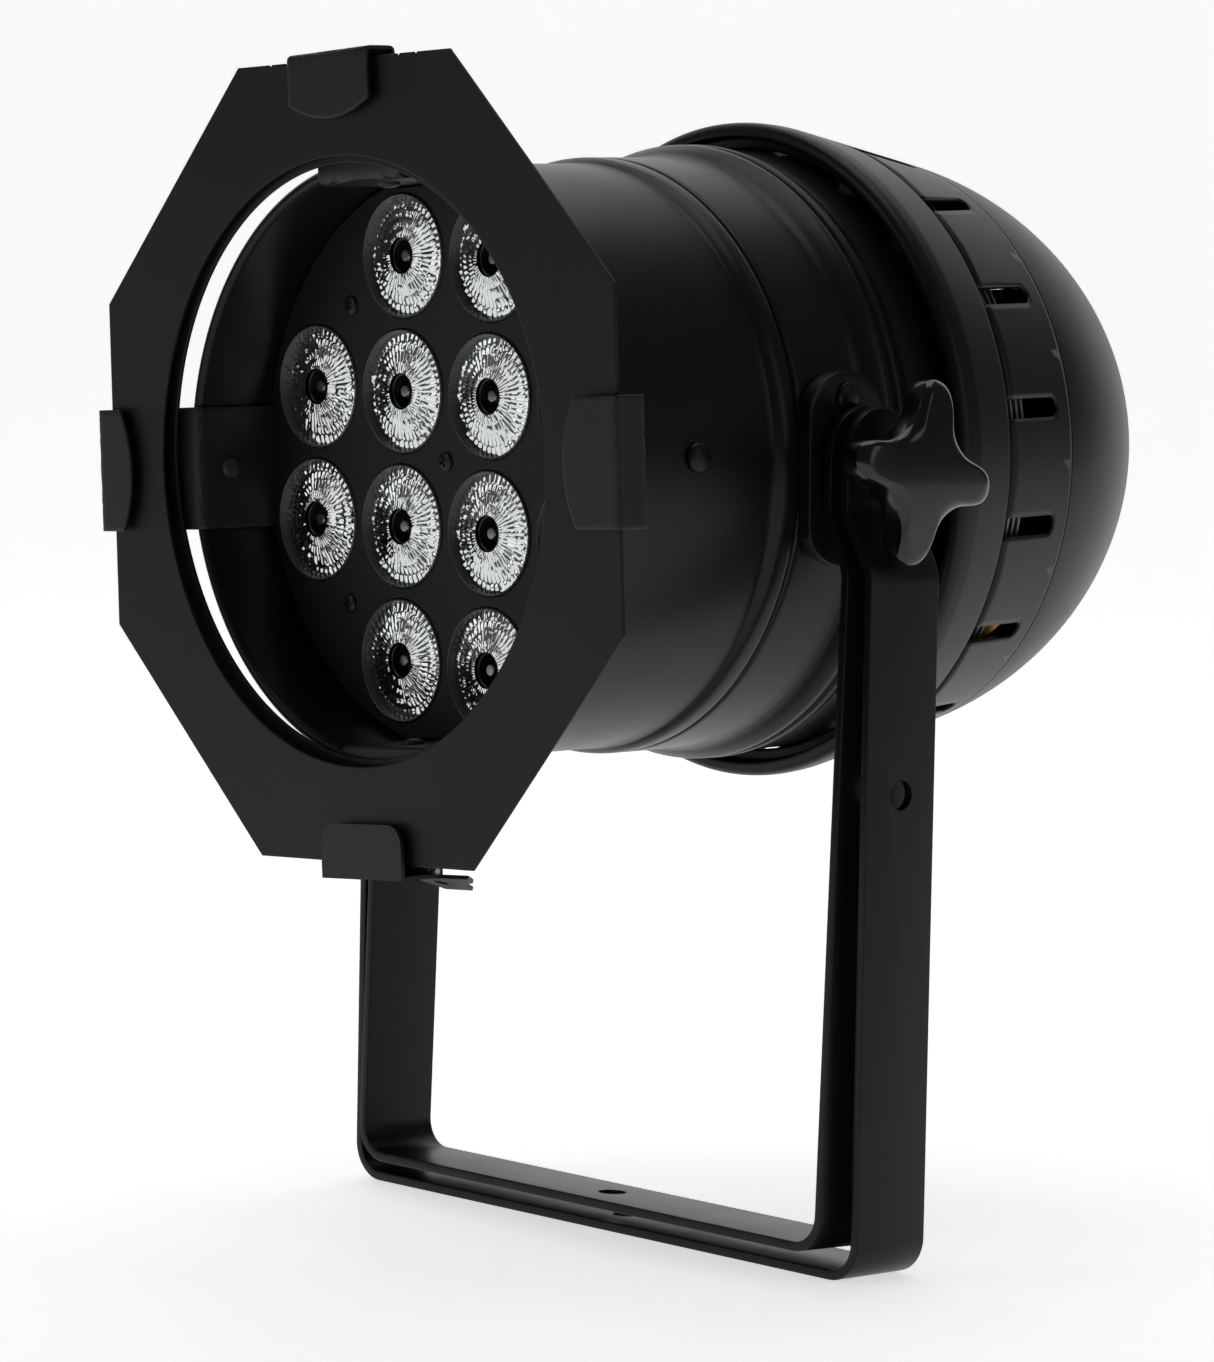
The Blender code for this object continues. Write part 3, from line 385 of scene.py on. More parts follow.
def make_vent_ring():
    """Each slot is wrapped by a sheet running from the slot's edge out to its sector's border.

    Point (u, v) lies a share v of the way from the slot's outline to the border, u of the way round both.
    A slot on the sides keeps its height from end to end: radius * sin(angle) stays as at its front end.
    One within 30 degrees of the top or bottom runs straight back.
    """
    front, rear = VENT_FRONT + SEAM, VENT_REAR - SEAM
    straight = SLOT_END - SLOT_HALF
    walk = np.concatenate([np.linspace(0, 1, 9)[:-1], 1 + np.linspace(0, 1, 17)[:-1],
                           2 + np.linspace(0, 1, 9)])
    sector = math.pi / SLOTS
    turn = np.pi * np.clip(walk - 1, 0, 1)
    slot_across = -SLOT_HALF * np.cos(turn)
    slot_depth = np.where(walk < 1, front + (straight - front) * walk,
                          np.where(walk > 2, straight - (straight - front) * (walk - 2), straight))
    slot_depth = slot_depth + SLOT_HALF * np.sin(turn)
    border_angle = sector * np.clip(2 * (walk - 1.5), -1, 1)
    border_depth = np.where(walk < 1, front + (rear - front) * walk,
                            np.where(walk > 2, rear - (rear - front) * (walk - 2), rear))
    share = np.linspace(0, 1, 9)[:, None]
    depth = slot_depth + (border_depth - slot_depth) * share
    slot_angle = slot_across / cone_radius(slot_depth)
    angle = slot_angle + (border_angle - slot_angle) * share
    points, faces = [], []
    count = depth.size
    radius = cone_radius(depth)
    for index in range(SLOTS):
        middle = math.radians(SLOT_START) + index * 2 * sector
        height = np.clip(math.sin(middle) * VENT_FRONT_RADIUS / radius, -1, 1)
        level = np.arcsin(height) - math.asin(math.sin(middle))
        if math.cos(middle) < 0:
            level = -level
        if abs(math.cos(middle)) < 0.5:
            level = 0 * level
        whole = angle + middle + level * (1 - share)
        sheet = np.stack([radius * np.cos(whole), depth - PIVOT_DEPTH, radius * np.sin(whole)], -1)
        points.append(sheet.reshape(-1, 3))
        faces.append(grid_faces(*depth.shape) + index * count)
    piece = mesh_piece("vent_ring_shell", np.concatenate(points), np.concatenate(faces), HEAD, "head",
                       shell_paint, replaces=("vent_ring",))
    point_out(piece, Vector((0, 0.07, 0)))
    thicken(piece, SHELL_WALL)


def point_out(piece, centre):
    """Turns an open sheet so that its faces look away from a point in head coordinates."""
    middle = HEAD @ centre
    face = max(piece.data.polygons, key=lambda f: f.area)
    if (face.center - middle).dot(face.normal) < 0:
        piece.data.flip_normals()


DOME_CURVE = 0.113
DOME_DEPTH = VENT_REAR - 0.022
DOME_OFFSET = VENT_REAR_RADIUS - math.sqrt(DOME_CURVE ** 2 - (VENT_REAR - DOME_DEPTH) ** 2)
PANEL_RADIUS = 0.050


def dome_arc(curve, start, end_radius, steps):
    """Radius over depth of the dome's arc, from a start depth in to an end radius."""
    first = math.asin((start - DOME_DEPTH) / curve)
    last = math.acos((end_radius - DOME_OFFSET) / curve)
    turn = np.linspace(first, last, steps)
    return np.stack([DOME_DEPTH + curve * np.sin(turn), DOME_OFFSET + curve * np.cos(turn)], -1)


PANEL_DEPTH = dome_arc(DOME_CURVE, VENT_REAR, PANEL_RADIUS, 2)[-1, 0]


def make_rear_dome():
    """The dome: an outer and an inner arc turned about the axis, joined at the seam and the panel's mouth."""
    outside = dome_arc(DOME_CURVE, VENT_REAR + 0.0004, PANEL_RADIUS + 0.0008, 44)
    inside = dome_arc(DOME_CURVE - 0.002, VENT_REAR, PANEL_RADIUS, 24)[::-1]
    edge = np.array([(VENT_REAR, VENT_REAR_RADIUS - 0.0004)])
    mouth = np.array([(PANEL_DEPTH, PANEL_RADIUS + 0.0002), (PANEL_DEPTH - 0.0003, PANEL_RADIUS)])
    outline = np.concatenate([edge, outside, mouth, inside])
    revolve("rear_dome_shell", head_profile(outline), HEAD, "head", shell_paint, 200, replaces=("rear_dome",))


make_front_can()
make_middle_can()
make_rear_ring()
make_vent_ring()
make_rear_dome()


# Light source

LENS_PITCH = 0.0412
LENS_RADIUS = 0.0190
PLATE_DEPTH = 0.036
LENS_PLACES = [((column - (count - 1) / 2) * LENS_PITCH, (1.5 - row) * LENS_PITCH)
               for row, count in enumerate((2, 4, 4, 2)) for column in range(count)]


def turned_profile(profile, segments, x=0.0, z=0.0, closed=False):
    """Points and faces of a (depth, radius) profile turned about a line along Y through (x, z)."""
    profile = np.asarray(profile, float)
    angle = np.linspace(0, 2 * np.pi, segments, endpoint=False)
    points = np.stack([x + profile[:, None, 1] * np.cos(angle), np.repeat(profile[:, None, 0], segments, 1),
                       z + profile[:, None, 1] * np.sin(angle)], -1)
    return points.reshape(-1, 3), grid_faces(len(profile), segments, closed, True)


def lens_cup(x, z, seed):
    """The faceted ring behind a lens face: rings of ribs whose height swings with the angle.

    depth = low cone(r) + small swing * cos(ribs * angle + shift of the last ring), less a shallow trough
    along each ring, plus a small random tilt of each cell, so each cell faces its own way.
    """
    random = np.random.default_rng(seed)
    rings = 4
    shares = np.linspace(0, 1, 37)
    inner, outer = 0.0056, LENS_RADIUS - 0.0006
    radius = inner + (outer - inner) * shares
    segments = 240
    angle = np.linspace(0, 2 * np.pi, segments, endpoint=False)
    ribs = 48
    ring = np.minimum(np.floor(shares * rings), rings - 1)
    shift = (ring == 3) * np.pi
    swing = 0.00014 * np.clip(shares * 2 + 0.2, 0.3, 1)
    ribbed = np.cos(ribs * angle[None, :] + shift[:, None])
    depth = 0.0026 * shares[:, None] - 0.0010 + swing[:, None] * ribbed
    within = shares * rings - ring
    depth = depth - (0.00016 * np.sin(np.pi * within))[:, None]
    tilt = np.repeat(random.normal(0, 0.00015, (rings, ribs)), segments // ribs, 1)[ring.astype(int)]
    depth = depth + tilt * np.sin(np.pi * within)[:, None]
    points = np.stack([x + radius[:, None] * np.cos(angle), PLATE_DEPTH - PIVOT_DEPTH + depth,
                       z + radius[:, None] * np.sin(angle)], -1)
    return points.reshape(-1, 3), grid_faces(len(shares), segments, False, True)


COLLAR_SIDES = 144
COLLAR_RIBS = 48


def make_lenses():
    """Each lens: a faceted cup, a finely ribbed collar, and a dark well with a bright post in the middle."""
    front = PLATE_DEPTH - 0.0008 - PIVOT_DEPTH
    angle = np.linspace(0, 2 * np.pi, COLLAR_SIDES, endpoint=False)
    bead = 1 + 0.006 * np.cos(COLLAR_RIBS * angle)
    collar = np.array([(front + 0.0006, LENS_RADIUS - 0.0008), (front + 0.0001, LENS_RADIUS - 0.0006),
                       (front, LENS_RADIUS - 0.0004), (front + 0.0003, LENS_RADIUS - 0.0001),
                       (front + 0.0012, LENS_RADIUS - 0.0001), (front + 0.0042, LENS_RADIUS - 0.0001),
                       (front + 0.0042, LENS_RADIUS - 0.0009)])
    radius = np.minimum(collar[:, None, 1] * bead, LENS_RADIUS)
    depth = np.repeat(collar[:, None, 0], COLLAR_SIDES, 1)
    collar_faces = grid_faces(len(collar), COLLAR_SIDES, True, True)
    well = [(front + 0.0012, 0.0058), (front + 0.0010, 0.0055), (front + 0.0012, 0.0050),
            (front + 0.0036, 0.0048), (front + 0.0060, 0.0046), (front + 0.0060, 0.0000)]
    post = [(front + 0.0059, 0.0042), (front + 0.0046, 0.0034), (front + 0.0034, 0.0022),
            (front + 0.0024, 0.0017), (front + 0.0017, 0.0019), (front + 0.0013, 0.0016),
            (front + 0.0012, 0.0000)]
    for number, (x, z) in enumerate(LENS_PLACES, 1):
        name = "lens_%02d" % number
        ring = np.stack([x + radius * np.cos(angle), depth, z + radius * np.sin(angle)], -1)
        made = (mesh_piece(name + "_facets", *lens_cup(x, z, number), HEAD, "head", mirror_cup, 25,
                           replaces=(name,)),
                mesh_piece(name + "_collar", ring, collar_faces, HEAD, "head", lens_rim),
                mesh_piece(name + "_well", *turned_profile(well, 48, x, z), HEAD, "head", well_dark),
                mesh_piece(name + "_post", *turned_profile(post, 36, x, z), HEAD, "head", lens_post))


PLATE_RADIUS = 0.0876
PLATE_FLAT = 0.0841
PLATE_FLAT_HALF = 0.0193


def plate_outline(segments=240):
    """A round plate with a flat at each clip's strip: radius = least of the circle and the strip's line."""
    angle = np.linspace(0, 2 * np.pi, segments, endpoint=False)
    outline = np.full(segments, PLATE_RADIUS)
    half = math.asin(PLATE_FLAT_HALF / PLATE_RADIUS)
    for _, place in FIXINGS:
        centre = math.pi / 2 - math.radians(place + FRAME_ROLL)
        off = (angle - centre + np.pi) % (2 * np.pi) - np.pi
        strip = PLATE_FLAT / np.cos(np.clip(off, -1, 1))
        outline = np.where(np.abs(off) < half, np.minimum(outline, strip), outline)
    return np.stack([outline * np.cos(angle), outline * np.sin(angle)], -1)


def make_front_plate():
    """The plate behind the colour frame: three rings of its outline, closed, with a hole for each lens."""
    outline = plate_outline()
    near, far = PLATE_DEPTH - PIVOT_DEPTH, PLATE_DEPTH + 0.002 - PIVOT_DEPTH
    count = len(outline)
    flat = [np.stack([outline[:, 0] * s, np.full(count, d), outline[:, 1] * s], -1)
            for s, d in ((0.9955, near), (1.0, near + 0.0004), (1.0, far))]
    faces = grid_faces(3, count, False, True).tolist()
    faces += [list(range(count)), list(range(2 * count, 3 * count))]
    plate = mesh_piece("lamp_plate", np.concatenate(flat), faces, HEAD, "head", plate_paint,
                       replaces=("front_plate",))
    cutters = []
    for x, z in LENS_PLACES:
        cutters.append(cylinder_cutter(LENS_RADIUS + 0.0003, near - 0.002, far + 0.002,
                                       HEAD @ Matrix.Translation((x, 0, z)), 72))
    settle(plate, *cutters)
    soften(plate)


def soften(piece):
    """Shades a cut piece smooth, with its edges past 30 degrees kept sharp."""
    piece.data.shade_smooth()
    piece.data.set_sharp_from_angle(angle=math.radians(30))


def screw(name, radius, height, place):
    """A pan-headed screw with a cross recess: the head's height dips where either arm of the cross lies."""
    shares = np.linspace(0, 1, 19)
    segments = 64
    angle = np.linspace(0, 2 * np.pi, segments, endpoint=False)
    r = radius * shares
    dome = height * np.sqrt(np.clip(1 - (shares * 0.92) ** 4, 0, 1))
    x = r[:, None] * np.cos(angle)
    z = r[:, None] * np.sin(angle)
    arm = radius * 0.13
    inside = (np.minimum(np.abs(x), np.abs(z)) < arm) & (np.hypot(x, z) < radius * 0.55)
    rise = np.where(inside, dome[:, None] - height * 0.45, np.repeat(dome[:, None], segments, 1))
    points = np.stack([x, rise, z], -1)
    skirt = np.stack([x[-1:], np.zeros((1, segments)), z[-1:]], -1)
    points = np.concatenate([points, skirt])
    faces = grid_faces(len(shares) + 1, segments, False, True)
    return mesh_piece(name, points, faces, place, "head", dark_screw, 30)


def make_plate_screws():
    """One screw in the middle of the plate and four in a square between the lenses."""
    out = 0.046
    face = PLATE_DEPTH - PIVOT_DEPTH + 0.0001
    for number, (x, z) in enumerate(((0, 0), (out, out), (-out, out), (out, -out), (-out, -out)), 1):
        place = HEAD @ Matrix.Translation((x, face, z)) @ turned(180, "X") @ turned(20 * number, "Y")
        screw("plate_screw_%d" % number, 0.0030, 0.0012, place)


make_lenses()
make_front_plate()
make_plate_screws()


# Colour frame

FRAME_HALF = 0.120
FRAME_SIDE_HALF = 0.0502
APERTURE_RADIUS = 0.0912
APERTURE_SHIFT = -0.003
SHEET = 0.0012
REAR_HALF = 0.107
REAR_APERTURE = 0.0892
CLIP_SHEET = 0.0012
CLIP_FRONT = -0.0032
CLIP_BACK = 0.0080


def octagon_reach(angle, half, side_half):
    """Distance from the centre to the octagon's edge: the lesser reach of its straight and corner sides."""
    across = np.maximum(np.abs(np.cos(angle)), np.abs(np.sin(angle)))
    corner = (half + side_half) / (np.abs(np.cos(angle)) + np.abs(np.sin(angle)))
    return np.minimum(half / across, corner)


def leaf_angles(half, side_half):
    """Even angles with the octagon's eight corners added."""
    corner = math.atan2(side_half, half)
    corners = [k * np.pi / 2 + s * corner for k in range(4) for s in (-1, 1)]
    even = np.linspace(0, 2 * np.pi, 192, endpoint=False) + 0.003
    return np.sort(np.concatenate([even, np.mod(corners, 2 * np.pi)]))


def leaf_sheet(half, side_half, aperture):
    """A flat octagonal sheet with a round hole: point (u, v) lies a share v from the hole to the rim."""
    angle = leaf_angles(half, side_half)
    reach = octagon_reach(angle, half, side_half)
    share = np.array([0.0, 0.02, 0.35, 0.7, 0.98, 1.0])[:, None]
    radius = aperture + (reach - aperture) * share
    across = radius * np.cos(angle) + APERTURE_SHIFT * (1 - share)
    points = np.stack([across, np.zeros_like(radius), radius * np.sin(angle)], -1)
    return points, grid_faces(len(share), len(angle), False, True)


def make_colour_frame():
    """Two octagonal leaves of one sheet: the rear one hangs, a little splayed, from a fold at the top."""
    points, faces = leaf_sheet(FRAME_HALF, FRAME_SIDE_HALF, APERTURE_RADIUS)
    front = mesh_piece("colour_frame_front", points, faces, CENTRE, "head", leaf_paint, 30,
                       replaces=("colour_frame",))
    face_forward(front)
    thicken(front, SHEET, 0.00025)
    nicks = [CENTRE @ Matrix.Translation((x, 0, FRAME_HALF)) for x in (-0.0345, -0.0265, 0.0265, 0.0345)]
    settle(front, *[cylinder_cutter(0.0011, -0.004, 0.004, nick, 16) for nick in nicks])
    soften(front)
    start = SHEET + 0.0003
    room = CLIP_BACK - CLIP_SHEET - 0.0003 - start - SHEET
    splay = math.degrees(math.atan(room / (FRAME_HALF + REAR_HALF)))
    rear_side = FRAME_SIDE_HALF * REAR_HALF / FRAME_HALF
    points, faces = leaf_sheet(REAR_HALF, rear_side, REAR_APERTURE)
    points = points - (0, 0, FRAME_HALF)
    place = CENTRE @ Matrix.Translation((0, start, FRAME_HALF)) @ turned(splay, "X")
    rear = mesh_piece("colour_frame_rear", points, faces, place, "head", leaf_paint, 30)
    face_forward(rear)
    thicken(rear, SHEET, 0.00025)
    across = np.linspace(-rear_side, rear_side, 9)
    down = np.linspace(-0.0008, REAR_HALF - FRAME_HALF - 0.001, 5)
    tab = np.array([[(x, 0, z) for x in across] for z in down])
    neck = mesh_piece("colour_frame_neck", tab, grid_faces(5, 9), place, "head", leaf_paint)
    face_forward(neck)
    thicken(neck, SHEET, 0.0002)
    turn = np.linspace(-np.pi / 2, np.pi / 2, 13)
    reach = (2 * SHEET + 0.0003) / 2
    fold = [(reach + reach * np.sin(t), FRAME_HALF - 0.0014 + 0.0011 * np.cos(t)) for t in turn]
    points = np.array([[(x, d, z) for x in across] for d, z in fold])
    bend = mesh_piece("colour_frame_fold", points, grid_faces(len(fold), len(across)), CENTRE, "head",
                      leaf_paint)
    if bend.data.polygons[len(bend.data.polygons) // 2].normal.z < 0:
        bend.data.flip_normals()


def face_forward(piece):
    """Turns a flat sheet so that its faces look forwards, towards -Y."""
    if sum(face.normal.y * face.area for face in piece.data.polygons) > 0:
        piece.data.flip_normals()


make_colour_frame()


# Clips

CLIP_WIDTH = 0.038
CLIP_WALL = FRAME_HALF + 0.0024
CLIP_BASE = math.sqrt(0.088 ** 2 - (CLIP_WIDTH / 2) ** 2) - 0.0003
CLIP_TAIL = 0.064


def sheet_path(corners, radius, spacing=0.0012):
    """A (depth, radius) line with rounded corners, resampled to even steps along its length."""
    line = rounded(corners, radius, 6)
    steps = np.linalg.norm(np.diff(line, axis=0), axis=1)
    length = np.concatenate([[0], np.cumsum(steps)])
    count = int(length[-1] / spacing) + 2
    even = np.linspace(0, length[-1], count)
    return np.stack([np.interp(even, length, line[:, k]) for k in range(2)], -1), even


def strip_points(path, half, cut):
    """A strip carried along the path, with its start drawn back by cut(x), so that end follows a curve."""
    line, along = path
    across = np.linspace(-1, 1, 25)
    x = across * half
    start = cut(x)
    total = along[-1]
    where = start[None, :] + (total - start[None, :]) * (along[:, None] / total)
    depth = np.interp(where, along, line[:, 0])
    radius = np.interp(where, along, line[:, 1])
    return np.stack([np.repeat(x[None, :], len(along), 0), depth, radius], -1)


def make_clip(place, angle, tab_length):
    """A bent strip: a tab over the frame's front, a wall past its edge, and a tail riveted to the tube."""
    half = CLIP_WIDTH / 2
    hub = SEAT @ turned(angle, "Y")
    top = CLIP_WALL + CLIP_SHEET
    tip = top - tab_length
    corners = [(CLIP_FRONT, tip), (CLIP_FRONT, top), (CLIP_BACK, top), (CLIP_BACK, CLIP_BASE - 0.0001),
               (CLIP_TAIL, CLIP_BASE)]
    path = sheet_path(corners, 0.0016)
    points = strip_points(path, half, lambda x: 0.005 * (x / half) ** 2)
    clip = mesh_piece("clip_%s_sheet" % place, points, grid_faces(*points.shape[:2]), hub, "head",
                      clip_paint, 30, replaces=("clip_%s" % place,))
    face_out(clip)
    thicken(clip, CLIP_SHEET, 0.0003)
    for x in (-0.011, 0.0, 0.011):
        name = "clip_%s_gusset_%d" % (place, round(x * 1000))
        mesh_piece(name, *rib(x), hub, "head", clip_paint)


def rib(x):
    """A dimple pressed across the inside bend: a half-round ridge leaning from the wall to the strip."""
    along = np.linspace(0, 1, 9)[:, None]
    turn = np.linspace(0, np.pi, 9)[None, :]
    swell = 0.0011 * np.sin(np.pi * along) ** 0.5
    start = np.array([CLIP_BACK - CLIP_SHEET, CLIP_BASE + 0.0022])
    end = np.array([CLIP_BACK + 0.0030, CLIP_BASE - CLIP_SHEET])
    depth = start[0] + (end[0] - start[0]) * along - swell * np.sin(turn) * 0.75
    radius = start[1] + (end[1] - start[1]) * along - swell * np.sin(turn) * 0.75
    across = x + swell * np.cos(turn)
    points = np.stack([across, depth, radius], -1)
    return points, grid_faces(9, 9)


def face_out(piece):
    """Turns a bent strip so that the side facing away from the can's axis at its tail is the outside."""
    mesh = piece.data
    last = mesh.polygons[len(mesh.polygons) - 12]
    axis_point = HEAD @ Vector((0, last.center.y, 0))
    outwards = last.center - Vector((axis_point.x, last.center.y, axis_point.z))
    if last.normal.dot(outwards) < 0:
        mesh.flip_normals()


for clip in CLIPS:
    make_clip(*clip)


RIVET_DEPTH = 0.057
INNER_RIVET_DEPTH = 0.0187


def dome_profile(radius, height, steps=9):
    """A rivet head: an upright foot, then a quarter ellipse in to the top."""
    turn = np.linspace(0, np.pi / 2, steps)
    arc = np.stack([0.25 * height + 0.75 * height * np.sin(turn), radius * np.cos(turn) ** 0.8], -1)
    return np.concatenate([[(0.0, radius)], arc])


def make_rivets():
    """For each clip and the catch, a rivet head outside the tube and a smaller one inside its mouth."""
    for place, angle in FIXINGS:
        hub = SEAT @ turned(angle, "Y")
        outside = hub @ Matrix.Translation((0, RIVET_DEPTH, TUBE_RADIUS + 0.0001)) @ turned(90, "X")
        revolve("can_rivet_%s_head" % place, dome_profile(0.0044, 0.0026), outside, "head", paint, 48,
                False, 60, replaces=("can_rivet_%s" % place,))
        seat = CLIP_BASE - CLIP_SHEET - 0.0001
        inside = hub @ Matrix.Translation((0, INNER_RIVET_DEPTH, seat)) @ turned(-90, "X")
        inner = revolve("clip_rivet_%s" % place, dome_profile(0.0034, 0.0016), inside, "head", dark_rivet,
                        32, False, 60)


make_rivets()


# Bracket

STRAP_WIDTH = 0.028
STRAP_THICKNESS = 0.003
OUTER_HALF_WIDTH = 0.119
BRACKET_GAP = 0.0062
HEAD_BRACKET_GAP = 0.0043
BAR_GAP = 0.0046
BEND_RADIUS = 0.0105
JOGGLE = 0.0110
STRAP_HOLE = 0.0045
SIDE_HOLE_DROP = 0.0962


def strap_line(half_width, foot, offset):
    """Centre line of the strap in (x, z) from the right end down, across and up to the left end.

    The joggle moves the line by offset * (3 t^2 - 2 t^3), a smooth step, and each bend is a quarter
    circle. The half width follows a half circle at each end.
    """
    top = 0.005 + STRAP_WIDTH / 2
    end = top - STRAP_WIDTH / 2 * (1 - np.cos(np.linspace(0, np.pi / 2, 15)))
    share = np.linspace(0, 1, 21)
    bend = np.linspace(0, np.pi / 2, 13)
    joggle = half_width - offset * (1 - share * share * (3 - 2 * share))
    x = np.concatenate([np.full(15, half_width - offset), joggle,
                        half_width - BEND_RADIUS + BEND_RADIUS * np.cos(bend)])
    z = np.concatenate([end, -0.010 - 0.023 * share, -foot + BEND_RADIUS - BEND_RADIUS * np.sin(bend)])
    width = np.full(len(x), STRAP_WIDTH / 2)
    width[:15] = STRAP_WIDTH / 2 * np.sin(np.linspace(0, np.pi / 2, 15))
    width[0] = 0.0016
    x = np.concatenate([x, -x[::-1]])
    z = np.concatenate([z, z[::-1]])
    return x, z, np.concatenate([width, width[::-1]])


def make_strap(name, half_width, foot, offset, place, body, node, cutters):
    """A flat bar carried along the line: its section is a rectangle with rounded corners."""
    x, z, width = strap_line(half_width, foot, offset)
    dx, dz = np.gradient(x), np.gradient(z)
    length = np.hypot(dx, dz)
    side = np.stack([dz / length, np.zeros_like(dx), -dx / length], -1)
    corner = 0.00045
    turn = np.linspace(0, np.pi / 2, 4)
    section = []
    for sign_y, sign_t, order in ((1, 1, turn[::-1]), (1, -1, turn), (-1, -1, turn[::-1]), (-1, 1, turn)):
        for t in order:
            across = sign_t * (STRAP_THICKNESS / 2 - corner + corner * np.sin(t))
            section.append((sign_y, corner * (np.cos(t) - 1), across))
    rows = []
    for sign_y, inset, across in section:
        rows.append(np.stack([x, sign_y * np.maximum(width + inset, 0.0004), z], -1) + side * across)
    points = np.stack(rows, 1)
    faces = grid_faces(len(x), len(section), False, True).tolist()
    last = (len(x) - 1) * len(section)
    faces += [list(range(len(section))), [last + k for k in range(len(section))]]
    strap = mesh_piece(name, points, faces, place, body, bracket_paint, 30, replaces=(node,))
    settle(strap, *[cylinder_cutter(*cutter) for cutter in cutters])
    soften(strap)


def make_brackets():
    """The outer strap with its pivot, side and stand holes, and the inner one a gap inside it with its pivot
    and stand holes.
    """
    outer_centre = OUTER_HALF_WIDTH - STRAP_THICKNESS / 2
    inner_centre = outer_centre - STRAP_THICKNESS - BRACKET_GAP
    outer_foot = PIVOT_HEIGHT - STRAP_THICKNESS / 2
    inner_foot = outer_foot - STRAP_THICKNESS - BAR_GAP
    inner_offset = JOGGLE + HEAD_BRACKET_GAP - BRACKET_GAP
    stand = Matrix.Translation((0, 0, -PIVOT_HEIGHT)) @ turned(90, "X")
    side_hole = OUTER @ Matrix.Translation((0, 0, -SIDE_HOLE_DROP)) @ turned(90, "Z")
    outer_holes = [(STRAP_HOLE, -0.02, 0.02, OUTER @ stand), (STRAP_HOLE, -0.14, 0.14, side_hole),
                   (STRAP_HOLE, -0.14, 0.14, OUTER @ turned(90, "Z"))]
    inner_holes = [(STRAP_HOLE, -0.02, 0.02, INNER @ stand),
                   (STRAP_HOLE, -0.14, 0.14, INNER @ turned(90, "Z"))]
    make_strap("outer_bracket_bar", outer_centre, outer_foot, JOGGLE, OUTER, "outer_bracket",
               "outer_bracket", outer_holes)
    make_strap("inner_bracket_bar", inner_centre, inner_foot, inner_offset, INNER, "inner_bracket",
               "inner_bracket", inner_holes)


make_brackets()


# Pivots

PAD_FACE = 0.0955
PAD_FORWARD = 0.0027
PAD_HALF_LENGTH = 0.0292
PAD_HALF_WIDTH = 0.015
PAD_SIDE_HALF = 0.020
OUTER_FACE = OUTER_HALF_WIDTH - JOGGLE
INNER_FACE = OUTER_FACE - STRAP_THICKNESS - HEAD_BRACKET_GAP
BOLT_RADIUS = 0.0039
WASHER_TOP = OUTER_FACE + 0.0003 + 0.0015
KNOB_SEAT = WASHER_TOP + 0.0003
PIVOT_BORE = 0.0044


def pad_outline():
    """(width, height) outline: straight sides joined by a shallow arc over the top and under the bottom."""
    rise = PAD_HALF_LENGTH - PAD_SIDE_HALF
    radius = (PAD_HALF_WIDTH ** 2 + rise ** 2) / (2 * rise)
    spread = math.asin(PAD_HALF_WIDTH / radius)
    turn = np.linspace(spread, -spread, 29)
    top = np.stack([radius * np.sin(turn), PAD_HALF_LENGTH - radius + radius * np.cos(turn)], -1)
    return ring_closed(list(top) + list(-top), 0.0015, 4)


def make_pivot_plates():
    """A plate on each side of the can: rings of its outline, from a rounded edge to its back, and rivets."""
    outline = pad_outline()
    count = len(outline)
    edge = 0.0006
    layers = ((0.0, PAD_FACE), (1 - 2.2 * edge / PAD_HALF_WIDTH, PAD_FACE),
              (1 - 0.7 * edge / PAD_HALF_WIDTH, PAD_FACE - 0.2 * edge),
              (1 - 0.1 * edge / PAD_HALF_WIDTH, PAD_FACE - 0.7 * edge),
              (1.0, PAD_FACE - 1.4 * edge), (1.0, 0.0905), (0.0, 0.0905))
    points = np.stack([np.stack([outline[:, 0] * s, np.full(count, y), outline[:, 1] * s], -1)
                       for s, y in layers])
    for side, sign in (("right", 1), ("left", -1)):
        place = HEAD @ Matrix.Translation((0, -PAD_FORWARD, 0)) @ outward(sign)
        mesh_piece("pivot_plate_%s_pad" % side, points, grid_faces(len(layers), count, False, True),
                   place, "head", paint, 30, replaces=("pivot_plate_%s" % side,))
        for end, up in (("top", 1), ("bottom", -1)):
            seat = HEAD @ Matrix.Translation((0, -PAD_FORWARD, up * (PAD_HALF_LENGTH - 0.0075)))
            seat = seat @ outward(sign) @ Matrix.Translation((0, PAD_FACE + 0.0001, 0))
            node = "plate_rivet_%s_%s" % (end, side)
            revolve(node + "_head", dome_profile(0.0043, 0.0018), seat, "head", paint, 48, False, 60,
                    replaces=(node,))


def ring_profile(outer, low, high):
    """Section of a washer round the pivot bolt, with its corners rounded."""
    return ring_closed([(low, PIVOT_BORE), (low, outer), (high, outer), (high, PIVOT_BORE)], 0.0003, 3)


